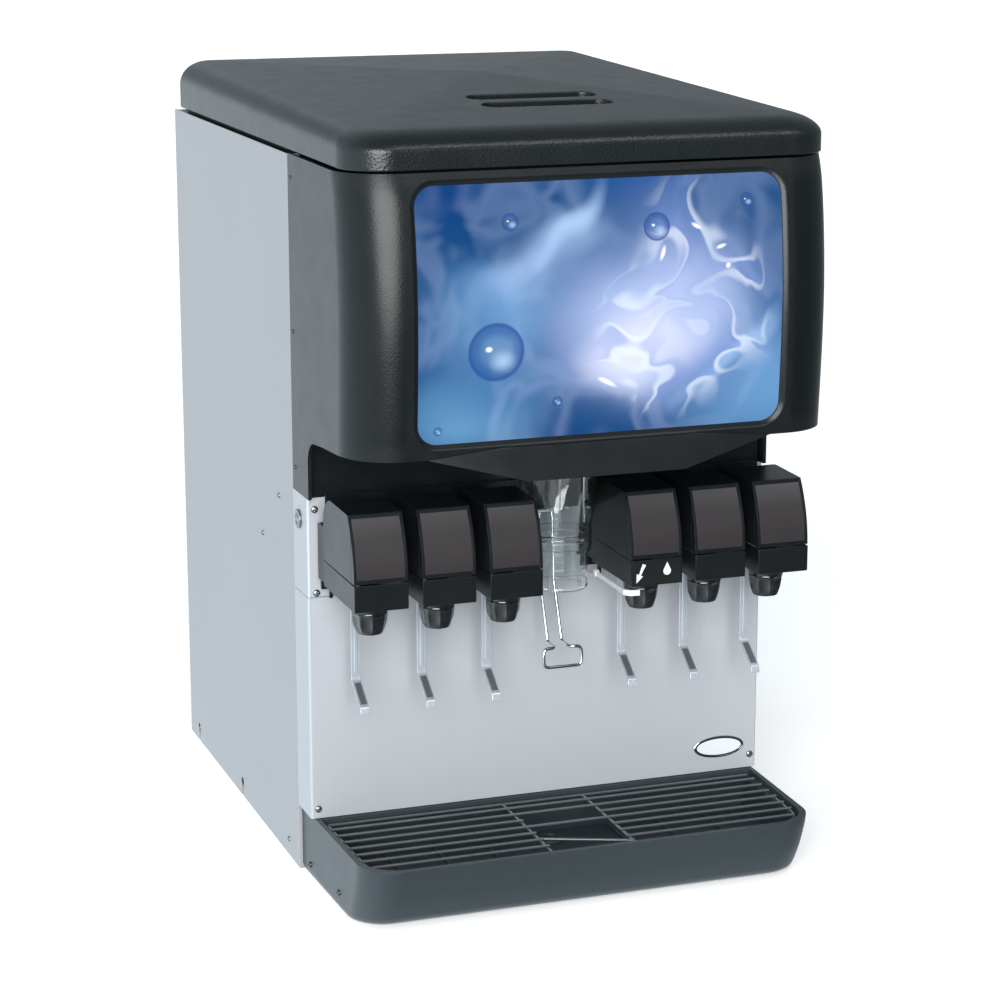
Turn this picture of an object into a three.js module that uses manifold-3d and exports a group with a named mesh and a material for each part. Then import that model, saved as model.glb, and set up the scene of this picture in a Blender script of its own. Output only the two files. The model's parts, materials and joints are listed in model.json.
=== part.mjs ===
// Countertop fountain soda dispenser with an ice hopper: six drink valves, an ice chute and a drip tray.
// Millimetres, +Z up, +X to the right and -Y towards the person who fills a cup.
// Every shape is written from the front edge of the side panels (y = 0) and from the floor (z = 0).
// The finished group is then moved back, so that the origin is under the middle of the machine.
import * as THREE from "three";
import { mergeVertices } from "three/addons/utils/BufferGeometryUtils.js";
import { ConvexGeometry } from "three/addons/geometries/ConvexGeometry.js";
import Module from "manifold-3d";

const wasm = await Module();
wasm.setup();

// Driving dimensions
const HALF = 279.5; // half of the 22 in cabinet
const CABINET_BACK = 546;
const CABINET_TOP = 837;
const SHEET = 1.5; // stainless sheet
const GAP = 0.3; // clearance between touching pieces
const SPLASH_FRONT = -54;
const SPLASH_TOP = 458.5;
const SPLASH_SEAM = 343;
const SPLASH_BOTTOM = 79.5;
const CHIN_FRONT = -262; // the foremost point of the machine
const CHIN_BOTTOM = 509;
const FRAME_TOP = 838;
const FRAME_WALL = 4;
const FRAME_LIP = 536; // bottom edge of the merchandiser's front
const TRAY_TOP = 79;
const TRAY_FRONT = -247;
const VALVE_CENTRES = [-238, -160.5, -83, 83, 160.5, 238];
const VALVE_WIDTH = 61.3;
const VALVE_BOTTOM = 364;
const NOZZLE_Y = -158;
const CHUTE_Y = -112;
const SHAFT_Z = 512; // agitator axis
const LID_LIP = 841;
const LID_TOP = 899.5; // along the back edge

const FINISHES = {
  stainless: { color: 0xb9c3cc, roughness: 0.32, metalness: 1 },
  chrome: { color: 0xd8dde0, roughness: 0.12, metalness: 1 },
  black_plastic: { color: 0x24282a, roughness: 0.55, metalness: 0 },
  gloss_black: { color: 0x141618, roughness: 0.2, metalness: 0 },
  clear_plastic: { color: 0xe8f0f2, roughness: 0.08, metalness: 0 },
  white_plastic: { color: 0xe9edef, roughness: 0.4, metalness: 0 },
  graphic: { color: 0xa9c4ea, roughness: 0.25, metalness: 0 },
  foam: { color: 0xe6d9a8, roughness: 0.9, metalness: 0 },
  aluminium: { color: 0xa8acae, roughness: 0.45, metalness: 1 },
  coated_wire: { color: 0x3a4042, roughness: 0.4, metalness: 0.2 },
};

const materials = Object.fromEntries(
  Object.entries(FINISHES).map(([name, look]) => [name, new THREE.MeshStandardMaterial(look)]),
);

const dispenser = new THREE.Group();

// Names a finished solid, gives it its material and adds it to the machine.
function add(name, finish, body) {
  const { vertProperties, triVerts } = body.getMesh();
  const geometry = new THREE.BufferGeometry();
  geometry.setAttribute("position", new THREE.BufferAttribute(vertProperties, 3));
  geometry.setIndex(new THREE.BufferAttribute(triVerts, 1));
  geometry.computeVertexNormals();
  const mesh = new THREE.Mesh(geometry, materials[finish]);
  mesh.name = name;
  dispenser.add(mesh);
}

function solid(geometry) {
  const bare = geometry.clone();
  bare.deleteAttribute("normal");
  bare.deleteAttribute("uv");
  const merged = mergeVertices(bare, 1e-4);
  const vertProperties = merged.attributes.position.array;
  const triVerts = new Uint32Array(merged.index.array);
  return new wasm.Manifold(new wasm.Mesh({ numProp: 3, vertProperties, triVerts }));
}

const join = (first, ...others) => others.reduce((body, other) => body.add(other), first);
const cut = (first, ...tools) => tools.reduce((body, tool) => body.subtract(tool), first);

// A box from its low and high x, y and z.
function block([x0, x1], [y0, y1], [z0, z1]) {
  const geometry = new THREE.BoxGeometry(x1 - x0, y1 - y0, z1 - z0);
  return solid(geometry.translate((x0 + x1) / 2, (y0 + y1) / 2, (z0 + z1) / 2));
}

function extrusion(outline, depth) {
  const shape = new THREE.Shape(outline.map(([u, v]) => new THREE.Vector2(u, v)));
  return new THREE.ExtrudeGeometry(shape, { depth, bevelEnabled: false });
}

// A plan outline (x, y) raised from z0 to z1.
function raised(outline, z0, z1) {
  return solid(extrusion(outline, z1 - z0).translate(0, 0, z0));
}

// A side outline (y, z) carried across from x0 to x1.
function across(outline, x0, x1) {
  const turned = extrusion(outline, x1 - x0).rotateZ(Math.PI / 2).rotateY(Math.PI / 2);
  return solid(turned.translate(x0, 0, 0));
}

// A front outline (x, z) carried back from y0 to y1.
function through(outline, y0, y1) {
  return solid(extrusion(outline, y1 - y0).rotateX(Math.PI / 2).translate(0, y1, 0));
}

// Points of an arc in degrees, ends included.
function arc(u, v, radius, from, to, steps) {
  return Array.from({ length: steps + 1 }, (_, i) => {
    const angle = THREE.MathUtils.degToRad(from + ((to - from) * i) / steps);
    return [u + radius * Math.cos(angle), v + radius * Math.sin(angle)];
  });
}

function roundedRectangle([u0, u1], [v0, v1], radius, steps = 5) {
  return [
    ...arc(u1 - radius, v0 + radius, radius, -90, 0, steps),
    ...arc(u1 - radius, v1 - radius, radius, 0, 90, steps),
    ...arc(u0 + radius, v1 - radius, radius, 90, 180, steps),
    ...arc(u0 + radius, v0 + radius, radius, 180, 270, steps),
  ];
}

// A closed body through rings of [x, y, z] points, listed from the lowest ring up and anticlockwise from above.
function loft(rings) {
  const count = rings[0].length;
  const index = [];
  for (let ring = 0; ring < rings.length - 1; ring++) {
    for (let i = 0; i < count; i++) {
      const a = ring * count + i;
      const b = ring * count + ((i + 1) % count);
      index.push(a, b, b + count, a, b + count, a + count);
    }
  }
  const outline = rings[0].map(([x, y]) => new THREE.Vector2(x, y));
  const top = (rings.length - 1) * count;
  for (const [a, b, c] of THREE.ShapeUtils.triangulateShape(outline, [])) {
    index.push(c, b, a, a + top, b + top, c + top);
  }
  const geometry = new THREE.BufferGeometry();
  geometry.setAttribute("position", new THREE.Float32BufferAttribute(rings.flat(2), 3));
  return solid(geometry.setIndex(index));
}

// A body turned about the vertical line through (x, y), from a closed profile of [radius, z] points.
function turned(profile, x, y, sides = 24) {
  const points = profile.map(([radius, z]) => new THREE.Vector2(radius, z));
  const first = points[0];
  if (first.x > 0) points.push(first.clone());
  return solid(new THREE.LatheGeometry(points, sides).rotateX(Math.PI / 2).translate(x, y, 0));
}

// A straight round bar between two points.
function bar(from, to, radius, sides = 12) {
  const start = new THREE.Vector3(...from);
  const span = new THREE.Vector3(...to).sub(start);
  const turn = new THREE.Quaternion().setFromUnitVectors(
    new THREE.Vector3(0, 1, 0),
    span.clone().normalize(),
  );
  const middle = start.addScaledVector(span, 0.5);
  const geometry = new THREE.CylinderGeometry(radius, radius, span.length(), sides);
  return solid(geometry.applyQuaternion(turn).translate(middle.x, middle.y, middle.z));
}

// A round wire bent along a smooth line through the points.
function wire(points, radius, steps, sides = 8) {
  const corners = points.map((point) => new THREE.Vector3(...point));
  const extrudePath = new THREE.CatmullRomCurve3(corners, false, "chordal");
  const circle = arc(0, 0, radius, 0, 360, sides).map(([u, v]) => new THREE.Vector2(u, v));
  return solid(new THREE.ExtrudeGeometry(new THREE.Shape(circle), { steps, extrudePath }));
}

const mirrored = (points) => points.map(([x, ...rest]) => [-x, ...rest]).reverse();

// A level ring from its right-hand side, listed from the front to the back.
const bothSides = (right, z) => [...mirrored(right), ...right].map(([x, y]) => [x, y, z]);

// Cabinet: two side panels, the back panel and the base pan, all folded sheet

const KEYHOLES_Y = [269, 500];

function sidePanel(side) {
  const flange = 14;
  const outer = side * HALF;
  const inner = side * (HALF - SHEET);
  const fold = side * (HALF - flange);
  const outline = [
    [outer, 0],
    [outer, CABINET_BACK],
    [inner, CABINET_BACK],
    [inner, SHEET],
    [fold, SHEET],
    [fold, 0],
  ];
  const keyholes = KEYHOLES_Y.flatMap((y) => [
    bar([side * (HALF - 5), y, 17], [side * (HALF + 5), y, 17], 7, 16),
    block([Math.min(inner, outer) - 2, Math.max(inner, outer) + 2], [y - 3, y + 3], [-5, 17]),
  ]);
  return cut(raised(outline, 0, CABINET_TOP), ...keyholes);
}

const INSIDE = HALF - SHEET - GAP;
const GLAND = { x: 180, z: 62, radius: 14 };

function backPanel() {
  const panel = block([-INSIDE, INSIDE], [CABINET_BACK - SHEET, CABINET_BACK], [3, CABINET_TOP - 1]);
  const service = block([-160, 60], [530, 560], [95, 145]);
  const gland = bar([GLAND.x, 530, GLAND.z], [GLAND.x, 560, GLAND.z], GLAND.radius, 20);
  return cut(panel, gland, service);
}

function basePan() {
  const half = INSIDE - 8; // leaves room for bolt heads behind the keyholes
  const front = SHEET + GAP;
  const pan = block([-half, half], [front, 542], [0, 2]);
  const ribs = [-150, 0, 150].map((x) => block([x - 12, x + 12], [40, 500], [1, 12]));
  const frontHem = block([-half + 10, half - 10], [front, front + 2], [0, 25]);
  return join(pan, frontHem, ...ribs);
}

function powerGland() {
  const body = bar([GLAND.x, 522, GLAND.z], [GLAND.x, 545, GLAND.z], GLAND.radius - GAP, 20);
  const nut = bar([GLAND.x, 522, GLAND.z], [GLAND.x, CABINET_BACK - SHEET - GAP, GLAND.z], 19, 6);
  return cut(join(body, nut), bar([GLAND.x, 515, GLAND.z], [GLAND.x, 560, GLAND.z], 5, 12));
}

// Splash: two folded sheets that close the front behind the cups and wrap round both sides

function splashSheet(z0, z1) {
  const bend = 3;
  const back = -GAP;
  const outer = [
    [HALF, back],
    ...arc(HALF - bend, SPLASH_FRONT + bend, bend, 0, -90, 2),
  ];
  const inner = [
    [HALF - SHEET, back],
    ...arc(HALF - bend, SPLASH_FRONT + bend, bend - SHEET, 0, -90, 2),
  ];
  const leftOuter = mirrored(outer);
  const leftInner = mirrored(inner);
  return raised([...outer, ...leftOuter, ...leftInner.reverse(), ...inner.reverse()], z0, z1);
}

const KEY = { y: -24, z: 428.5, barrel: 8.5, bezel: 11 };
const STUB = { radius: 11, z: 398 };

function upperSplash() {
  const holes = VALVE_CENTRES.map((x) => bar([x, -60, STUB.z], [x, -45, STUB.z], STUB.radius + 1, 12));
  const keyHole = bar([-HALF - 5, KEY.y, KEY.z], [-HALF + 5, KEY.y, KEY.z], KEY.barrel + GAP, 20);
  return cut(splashSheet(SPLASH_SEAM + GAP, SPLASH_TOP), keyHole, ...holes);
}

// Drip tray: moulded body that leans outwards, with a ledged well for the cup rest

const TRAY = { backHalf: 276, frontHalf: 271, corner: 44 };

// A level outline of the tray: wider at the back, round at the two front corners.
function trayRing(front, inset, z, back = -GAP) {
  const half = TRAY.frontHalf - inset;
  const radius = TRAY.corner - inset / 2;
  const corner = arc(half - radius, front + radius, radius, -90, 0, 7);
  return bothSides([...corner, [TRAY.backHalf - inset, back]], z);
}

const WELL_BACK = -58;
const WELL_FLOOR = 34;
const LEDGE = 70.5;
const DRAIN = { x: 0, y: -92, radius: 14 };

function dripTray() {
  const outside = loft([
    trayRing(-198, 3, 0),
    trayRing(-212, 0.5, 7),
    trayRing(-222, 0.5, 20),
    trayRing(-233.5, 0.5, 40),
    trayRing(-242, 0.5, 60),
    trayRing(-246, 0, 71),
    trayRing(TRAY_FRONT, 0, TRAY_TOP),
  ]);
  const rimRecess = loft([
    trayRing(-240, 7, LEDGE, WELL_BACK),
    trayRing(-240, 7, TRAY_TOP + 1, WELL_BACK),
  ]);
  const well = loft([
    trayRing(-215, 20, WELL_FLOOR, WELL_BACK - 4),
    trayRing(-232, 13, LEDGE + 1, WELL_BACK - 4),
  ]);
  const underside = loft([
    trayRing(-188, 12, -1, -40),
    trayRing(-206, 10, WELL_FLOOR - 5, -40),
  ]);
  const rearPocket = block([-262, 262], [-45, 1], [-1, 72]);
  const drain = bar([DRAIN.x, DRAIN.y, 20], [DRAIN.x, DRAIN.y, 50], DRAIN.radius + GAP, 20);
  return cut(outside, rimRecess, well, underside, rearPocket, drain);
}

function drainFitting() {
  const flange = 18;
  const bore = 9;
  return turned(
    [
      [bore, 8],
      [DRAIN.radius - 2, 8],
      [DRAIN.radius, 14],
      [DRAIN.radius, WELL_FLOOR + GAP],
      [flange, WELL_FLOOR + GAP],
      [flange, WELL_FLOOR + 3],
      [bore, WELL_FLOOR + 3],
    ],
    DRAIN.x,
    DRAIN.y,
    20,
  );
}

// Cup rest: a welded wire grille with two slotted fields and an open middle under the ice chute

const REST_Z = LEDGE + 2.4; // axis of the carrier wires, which lie on the ledge
const REST_FRONT = -235.5;
const REST_BACK = -64;
const DIVIDER_X = 50;

function cupRest() {
  const thick = 2;
  const thin = 1.7;
  const lift = 2.6; // the slats are welded on top of the carriers
  const pitch = 21.5;
  const bend = 38;
  const cornerX = 221;
  const sideX = (y) => 263 - 4 * ((REST_BACK - y) / (REST_BACK - REST_FRONT));
  const corner = arc(cornerX, REST_FRONT + bend, bend, 0, -90, 4).map(([x, y]) => [x, y, REST_Z]);
  const rightEnd = [[sideX(REST_BACK), REST_BACK, REST_Z], [sideX(-150), -150, REST_Z], ...corner];
  const ends = [rightEnd, rightEnd.map(([x, y, z]) => [-x, y, z])].map((path) => wire(path, thick, 10, 6));
  const rail = ([x0, y0], [x1, y1], radius) => bar([x0, y0, REST_Z], [x1, y1, REST_Z], radius, 6);
  const backReach = sideX(REST_BACK) + 1;
  const frontReach = cornerX + 1;
  const rails = [
    rail([-backReach, REST_BACK], [backReach, REST_BACK], thick),
    rail([-frontReach, REST_FRONT], [frontReach, REST_FRONT], thick),
    rail([-DIVIDER_X, REST_BACK], [-DIVIDER_X, REST_FRONT], thick),
    rail([DIVIDER_X, REST_BACK], [DIVIDER_X, REST_FRONT], thick),
    rail([-DIVIDER_X, -184], [DIVIDER_X, -224], thin),
  ];
  const slats = [];
  for (let i = 1; i <= 7; i++) {
    const y = REST_BACK - i * pitch;
    const pastBend = Math.max(0, REST_FRONT + bend - y);
    const reach = pastBend > 0 ? cornerX + Math.sqrt(bend ** 2 - pastBend ** 2) : sideX(y) + 1;
    const crossesMiddle = i === 1 || i === 2 || i === 4;
    const spans = crossesMiddle
      ? [[-reach, reach]]
      : [[-reach, 2 - DIVIDER_X], [DIVIDER_X - 2, reach]];
    const z = REST_Z + lift;
    slats.push(...spans.map(([x0, x1]) => bar([x0, y, z], [x1, y, z], thin, 5)));
  }
  return join(...ends, ...rails, ...slats);
}

// Merchandiser: the black surround that carries the lit graphic over the valves

// How far forward the bulged front stands at a height.
function frameFront(z) {
  const bulge = [
    [FRAME_TOP, -228],
    [815, -237],
    [756, -246.5],
    [690, -251],
    [620, -249.5],
    [FRAME_LIP, -244],
    [SPLASH_TOP, -238],
  ];
  const above = bulge.findIndex(([height]) => height <= z);
  if (above <= 0) return bulge[0][1];
  const [z1, y1] = bulge[above];
  const [z0, y0] = bulge[above - 1];
  return y0 + ((y1 - y0) * (z0 - z)) / (z0 - z1);
}

const FRAME_CORNER = 60;
const FRAME_LEVELS = [SPLASH_TOP, FRAME_LIP, 578, 620, 655, 690, 723, 756, 786, 815, FRAME_TOP];

// The surround's outside, or its hollow when there is an inset. overrun makes a hollow longer at both ends.
function frameBody(inset, back, overrun = 0) {
  const half = HALF - inset;
  const radius = FRAME_CORNER - inset;
  const rings = FRAME_LEVELS.map((z, i) => {
    const corner = arc(half - radius, frameFront(z) + inset + radius, radius, -90, 0, 7);
    return bothSides([...corner, [half, back]], i ? z + overrun : z - overrun);
  });
  return loft(rings);
}

// The faceted chin in the middle of the bottom edge.
function chin(shrink) {
  const half = [
    [92, -248.5 + shrink, 547],
    [110, -255 + shrink, 534],
    [90 - shrink, CHIN_FRONT + shrink, CHIN_BOTTOM],
    [198 - shrink, -245 + shrink, FRAME_LIP],
    [92, -230, 547],
    [90 - shrink, -215, CHIN_BOTTOM],
    [198 - shrink, -215, FRAME_LIP],
    [90, -215, 547],
  ];
  const points = [...half, ...mirrored(half)].map((p) => new THREE.Vector3(...p));
  return solid(new ConvexGeometry(points));
}

const WINDOW = { half: 208.5, z0: 551.5, z1: 824.5, radius: 22 };

function windowCutter() {
  const levels = [
    [-275, 9],
    [-250, 3],
    [-236, 0],
    [-215, 0],
  ];
  const rings = levels.map(([y, flare]) =>
    roundedRectangle(
      [-WINDOW.half - flare, WINDOW.half + flare],
      [WINDOW.z0 - flare, WINDOW.z1 + flare],
      WINDOW.radius + flare,
    )
      .map(([x, z]) => [x, -z, y])
      .reverse(),
  );
  return loft(rings).rotate([-90, 0, 0]);
}

// Open space under the merchandiser: beside the legs it climbs in a round corner to the front edge.
function undercut() {
  const legFront = -64;
  const shoulder = { radius: 28, z: 500 };
  const beyond = 300;
  const below = SPLASH_TOP - 18;
  return across(
    [
      [legFront, below],
      ...arc(legFront - shoulder.radius, shoulder.z, shoulder.radius, 0, 78, 5),
      [-120, 531],
      [-196, FRAME_LIP - 0.01],
      [-beyond, FRAME_LIP],
      [-beyond, below],
    ],
    -beyond,
    beyond,
  );
}

function merchandiserFrame() {
  const shell = cut(frameBody(0, -GAP), frameBody(FRAME_WALL, 10, 1), undercut());
  const chinInside = chin(3.5).translate([0, 1, 4]);
  const behindFace = block([-250, 250], [-236, -200], [520, 560]);
  return cut(join(shell, cut(chin(0), chinInside, behindFace)), windowCutter());
}

function graphicPanel() {
  const recess = FRAME_WALL + GAP;
  const thickness = 2.5;
  const levels = [WINDOW.z0 - 8, 578, 620, 655, 690, 723, 756, 786, WINDOW.z1 + 8];
  const front = levels.map((z) => [frameFront(z) + recess, z]);
  const back = levels.map((z) => [frameFront(z) + recess + thickness, z]).reverse();
  return across([...front, ...back], -216, 216);
}

const WALL_Y = [-51, -48];
const DUCT = { half: 40, z0: 574, z1: 648 };

function innerWall() {
  const half = HALF - FRAME_WALL - 1;
  const wall = block([-half, half], WALL_Y, [SPLASH_TOP + 1, FRAME_TOP - 4]);
  const ductHole = block([-DUCT.half - 1, DUCT.half + 1], [-60, -40], [DUCT.z0 - 1, DUCT.z1 + 1]);
  return cut(wall, ductHole);
}

function lampTube() {
  const tube = bar([-185, -205, 700], [185, -205, 700], 12.5, 16);
  const caps = [-1, 1].map((side) => bar([side * 178, -205, 700], [side * 192, -205, 700], 13.5, 16));
  return join(tube, ...caps);
}

function lampReflector() {
  const outline = [
    [-192, 668],
    [-180, 680],
    [-180, 720],
    [-192, 732],
    [-190, 734],
    [-177, 721.5],
    [-177, 678.5],
    [-190, 666],
  ];
  const sheet = across(outline, -206, 206);
  const brackets = [-1, 1].map((side) =>
    join(
      block([side * 200 - 3, side * 200 + 3], [-212, -176], [684, 716]),
      block([side * 200 - 3, side * 200 + 3], [-178, WALL_Y[0] - GAP], [690, 710]),
    ),
  );
  return join(sheet, ...brackets);
}

// Ice side: hopper, insulation, cold plate, agitator, gate and chute

const RIM_Z = 845.7;

// The tapered tub, grown outwards by an offset.
function tub(offset, z0, z1) {
  const level = (z) => {
    const t = (z - 334) / (846 - 334);
    const half = 200 + 24 * t + offset;
    const front = 85 - 23 * t - offset;
    const back = 470 + 30 * t + offset;
    return roundedRectangle([-half, half], [front, back], 30 + offset, 4).map(([x, y]) => [x, y, z]);
  };
  return loft([level(z0), level(z1)]);
}

const LINE = { z: 352, radius: 9 };

function hopperLiner() {
  const rim = raised(roundedRectangle([-271, 271], [8, 540], 32, 3), 839, RIM_Z);
  const gatePort = block([-34, 34], [30, 110], [580, 642]);
  const shaftHole = bar([0, 30, SHAFT_Z], [0, 110, SHAFT_Z], 7.5, 16);
  const lineHole = bar([0, 30, LINE.z], [0, 110, LINE.z], LINE.radius, 16);
  return cut(join(tub(4, 329, 842), rim), tub(0, 334, 860), gatePort, shaftHole, lineHole);
}

function hopperFoam() {
  const half = INSIDE - GAP;
  const jacket = block([-half, half], [28, CABINET_BACK - SHEET - GAP], [302, CABINET_TOP - 15]);
  const ductHole = block([-DUCT.half - 8, DUCT.half + 8], [20, 100], [DUCT.z0 - 2, DUCT.z1 + 4]);
  const shaftHole = bar([0, 20, SHAFT_Z], [0, 110, SHAFT_Z], 12, 16);
  const lineHole = bar([0, 20, LINE.z], [0, 110, LINE.z], LINE.radius, 16);
  return cut(jacket, tub(4 + GAP, 328.5, 850), ductHole, shaftHole, lineHole);
}

function coldPlate() {
  const plate = block([-185, 185], [100, 455], [334.5, 366]);
  const ribs = [-120, -60, 0, 60, 120].map((x) => block([x - 8, x + 8], [110, 445], [365, 372]));
  const socket = bar([0, 90, LINE.z], [0, 110, LINE.z], LINE.radius + 3, 16);
  return cut(join(plate, ...ribs), socket);
}

// One header under the insulation feeds a riser to each valve and is itself fed from the cold plate.
function productLines() {
  const headerY = 12;
  const headerZ = LINE.z;
  const riserTop = STUB.z;
  const header = bar([-245, headerY, headerZ], [245, headerY, headerZ], 7, 8);
  const feed = bar([0, headerY, headerZ], [0, 108, headerZ], LINE.radius - 1.5, 12);
  const risers = VALVE_CENTRES.flatMap((x) => [
    bar([x, headerY, headerZ], [x, headerY, riserTop], 4.5, 6),
    bar([x, headerY + 3, riserTop], [x, -40, riserTop], 4.5, 6),
  ]);
  return join(header, feed, ...risers);
}

function agitatorMotor() {
  const gearbox = block([-42, 42], [-18, 27], [470, 556]);
  const can = bar([0, -46, SHAFT_Z], [0, -17, SHAFT_Z], 32, 20);
  const shaftHole = bar([0, 5, SHAFT_Z], [0, 40, SHAFT_Z], 6.5, 12);
  return cut(join(gearbox, can), shaftHole);
}

function agitatorShaft() {
  const shaft = bar([0, 8, SHAFT_Z], [0, 440, SHAFT_Z], 5.8, 12);
  const rods = [200, 270, 340, 410].map((y, i) => {
    const angle = (i * Math.PI) / 4;
    const dx = 110 * Math.cos(angle);
    const dz = 110 * Math.sin(angle);
    return bar([-dx, y, SHAFT_Z - dz], [dx, y, SHAFT_Z + dz], 4.5, 8);
  });
  return join(shaft, ...rods);
}

// The wheel lifts ice from the bottom of the hopper to the gate port.
function paddleWheel() {
  const radius = 130;
  const disc = bar([0, 88, SHAFT_Z], [0, 92, SHAFT_Z], radius, 32);
  const hub = bar([0, 88, SHAFT_Z], [0, 132, SHAFT_Z], 16, 16);
  const paddles = Array.from({ length: 8 }, (_, i) => {
    const turn = (i * 360) / 8;
    const paddle = block([40, radius - 4], [91, 126], [-2.5, 2.5]);
    return paddle.rotate([0, turn, 0]).translate([0, 0, SHAFT_Z]);
  });
  const bore = bar([0, 60, SHAFT_Z], [0, 150, SHAFT_Z], 6.2, 12);
  return cut(join(disc, hub, ...paddles), bore);
}

function chuteHousing() {
  const wall = 3;
  const { half, z0, z1 } = DUCT;
  const back = 64;
  const front = CHUTE_Y - half;
  const drop = (inset, low, high) =>
    raised(
      roundedRectangle([-half + inset, half - inset], [front + inset, CHUTE_Y + half - inset], 22 - inset, 4),
      low,
      high,
    );
  const outside = join(
    block([-half, half], [CHUTE_Y, back], [z0, z1]),
    drop(0, 412, z1),
    bar([0, CHUTE_Y, 396], [0, CHUTE_Y, 413], 38, 32),
  );
  const inside = join(
    block([-half + wall, half - wall], [CHUTE_Y, back + 5], [z0 + wall, z1 - wall]),
    drop(wall, 415, z1 - wall),
    bar([0, CHUTE_Y, 390], [0, CHUTE_Y, 416], 34.2, 32), // socket for the lower tube
  );
  const pinHole = bar([-50, GATE.y, GATE.z], [50, GATE.y, GATE.z], 2.6, 12);
  return cut(outside, inside, pinHole);
}

function iceChute() {
  return turned(
    [
      [31, 348],
      [33.5, 348],
      [33.5, 391],
      [37.5, 391],
      [37.5, 395.7],
      [31, 395.7],
    ],
    0,
    CHUTE_Y,
    32,
  );
}

const GATE = { y: 36, z: 640, half: 35.5 };

function chuteGate() {
  const flap = block([-GATE.half, GATE.half], [GATE.y - 1.5, GATE.y + 1.5], [579.5, GATE.z]);
  const barrel = bar([-GATE.half, GATE.y, GATE.z], [GATE.half, GATE.y, GATE.z], 3.5, 12);
  const pin = bar([-44, GATE.y, GATE.z], [44, GATE.y, GATE.z], 2, 10);
  return join(flap, barrel, pin);
}

function gateSolenoid() {
  const frame = block([54, 98], [-38, 4], [600, 652]);
  const coil = bar([76, -17, 590], [76, -17, 662], 16, 20);
  const plunger = bar([76, -17, 575], [76, -17, 600], 6, 12);
  return join(frame, coil, plunger);
}

const ICE_PIVOT = { y: -64, z: 425 };

function iceLever() {
  const apart = 8.5;
  const reach = 23;
  const right = [
    [apart, ICE_PIVOT.y, ICE_PIVOT.z],
    [apart, -69, 392],
    [apart, -74, 350],
    [apart, -86, 322],
    [apart, -99, 286],
    [apart, -105, 278],
    [apart, -119, 278],
    [apart + 4, -126.5, 278],
    [reach - 6, -127.5, 277.5],
    [reach, -128, 271.5],
    [reach, -128.5, 262],
    [reach - 6, -129, 256],
    [0, -129, 256],
  ];
  const left = right.slice(0, -1).map(([x, y, z]) => [-x, y, z]);
  const loop = wire([...right, ...left.reverse()], 1.9, 44, 6);
  const rod = bar([-30, ICE_PIVOT.y, ICE_PIVOT.z], [30, ICE_PIVOT.y, ICE_PIVOT.z], 3, 10);
  return join(loop, rod);
}

// Drink valves: a mounting block with the valve in it, a lift-off cover, a nozzle and a cup lever

const LEVER_PIVOT = { y: -100, z: 376 };

function valveBody(x) {
  const { y: pivotY, z: pivotZ } = LEVER_PIVOT;
  const backPlate = block([x - 26, x + 26], [SPLASH_FRONT - 4.3, SPLASH_FRONT - GAP], [353, 425]);
  const mount = block([x - 19, x + 19], [-90, SPLASH_FRONT - 4], [372, 430]);
  const core = block([x - 22, x + 22], [-178, -89], [392, 438]);
  const stub = bar([x, -60, STUB.z], [x, -44, STUB.z], STUB.radius, 10);
  const diffuser = turned(
    [
      [0, 354],
      [6, 354],
      [12, 362],
      [12, 393],
      [0, 393],
    ],
    x,
    NOZZLE_Y,
    10,
  );
  const cheeks = [-1, 1].map((side) =>
    block([x + side * 10.5 - 1.5, x + side * 10.5 + 1.5], [-106, -94], [371, 393]),
  );
  const pinHole = bar([x - 20, pivotY, pivotZ], [x + 20, pivotY, pivotZ], 2.5, 8);
  return cut(join(backPlate, mount, core, stub, diffuser, ...cheeks), pinHole);
}

const COVER = { front: -204, rear: -84, top: 468.5, seam: 394.4, rearRadius: 32 };

// Side outline of a valve cover's curved front, pulled in by an inset.
function coverFront(inset) {
  const curve = new THREE.QuadraticBezierCurve(
    new THREE.Vector2(-202.6 + inset, 395),
    new THREE.Vector2(-202 + inset, 432),
    new THREE.Vector2(-180 + inset, COVER.top - 1 - inset),
  );
  return curve.getPoints(8).map((p) => [p.x, p.y]);
}

// Side outline of its round upper rear corner.
function coverRear(inset) {
  const { rear, top, rearRadius } = COVER;
  return arc(rear - rearRadius, top - rearRadius, rearRadius - inset, 90, 0, 5);
}

function valveCover(x) {
  const half = VALVE_WIDTH / 2;
  const wall = 2.4;
  const margin = 3.4; // round the insert
  const { front, rear, top, seam, rearRadius } = COVER;
  const outside = across(
    [[rear, VALVE_BOTTOM], [front, VALVE_BOTTOM], [front, seam], ...coverFront(0), ...coverRear(0)],
    x - half,
    x + half,
  );
  const inner = front + wall;
  const beneath = VALVE_BOTTOM - 10;
  const hollow = across(
    [
      [0, beneath],
      [inner, beneath],
      [inner, seam],
      ...coverFront(wall),
      ...coverRear(wall),
      [0, top - rearRadius],
    ],
    x - half + wall,
    x + half - wall,
  );
  const clear = front - 11;
  const label = across(
    [[clear, 396], [-201.8, 396], ...coverFront(0.9).slice(1, -1), [-181, 466], [clear, 466]],
    x - half + margin,
    x + half - margin,
  );
  return cut(outside, hollow, label);
}

function nozzle(x) {
  return turned(
    [
      [11.5, 328.5],
      [14, 328.5],
      [16, 333],
      [19.5, 346],
      [20, 353],
      [20, 363.6],
      [17.5, 363.6],
      [17.5, 351],
    ],
    x,
    NOZZLE_Y,
    16,
  );
}

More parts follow.
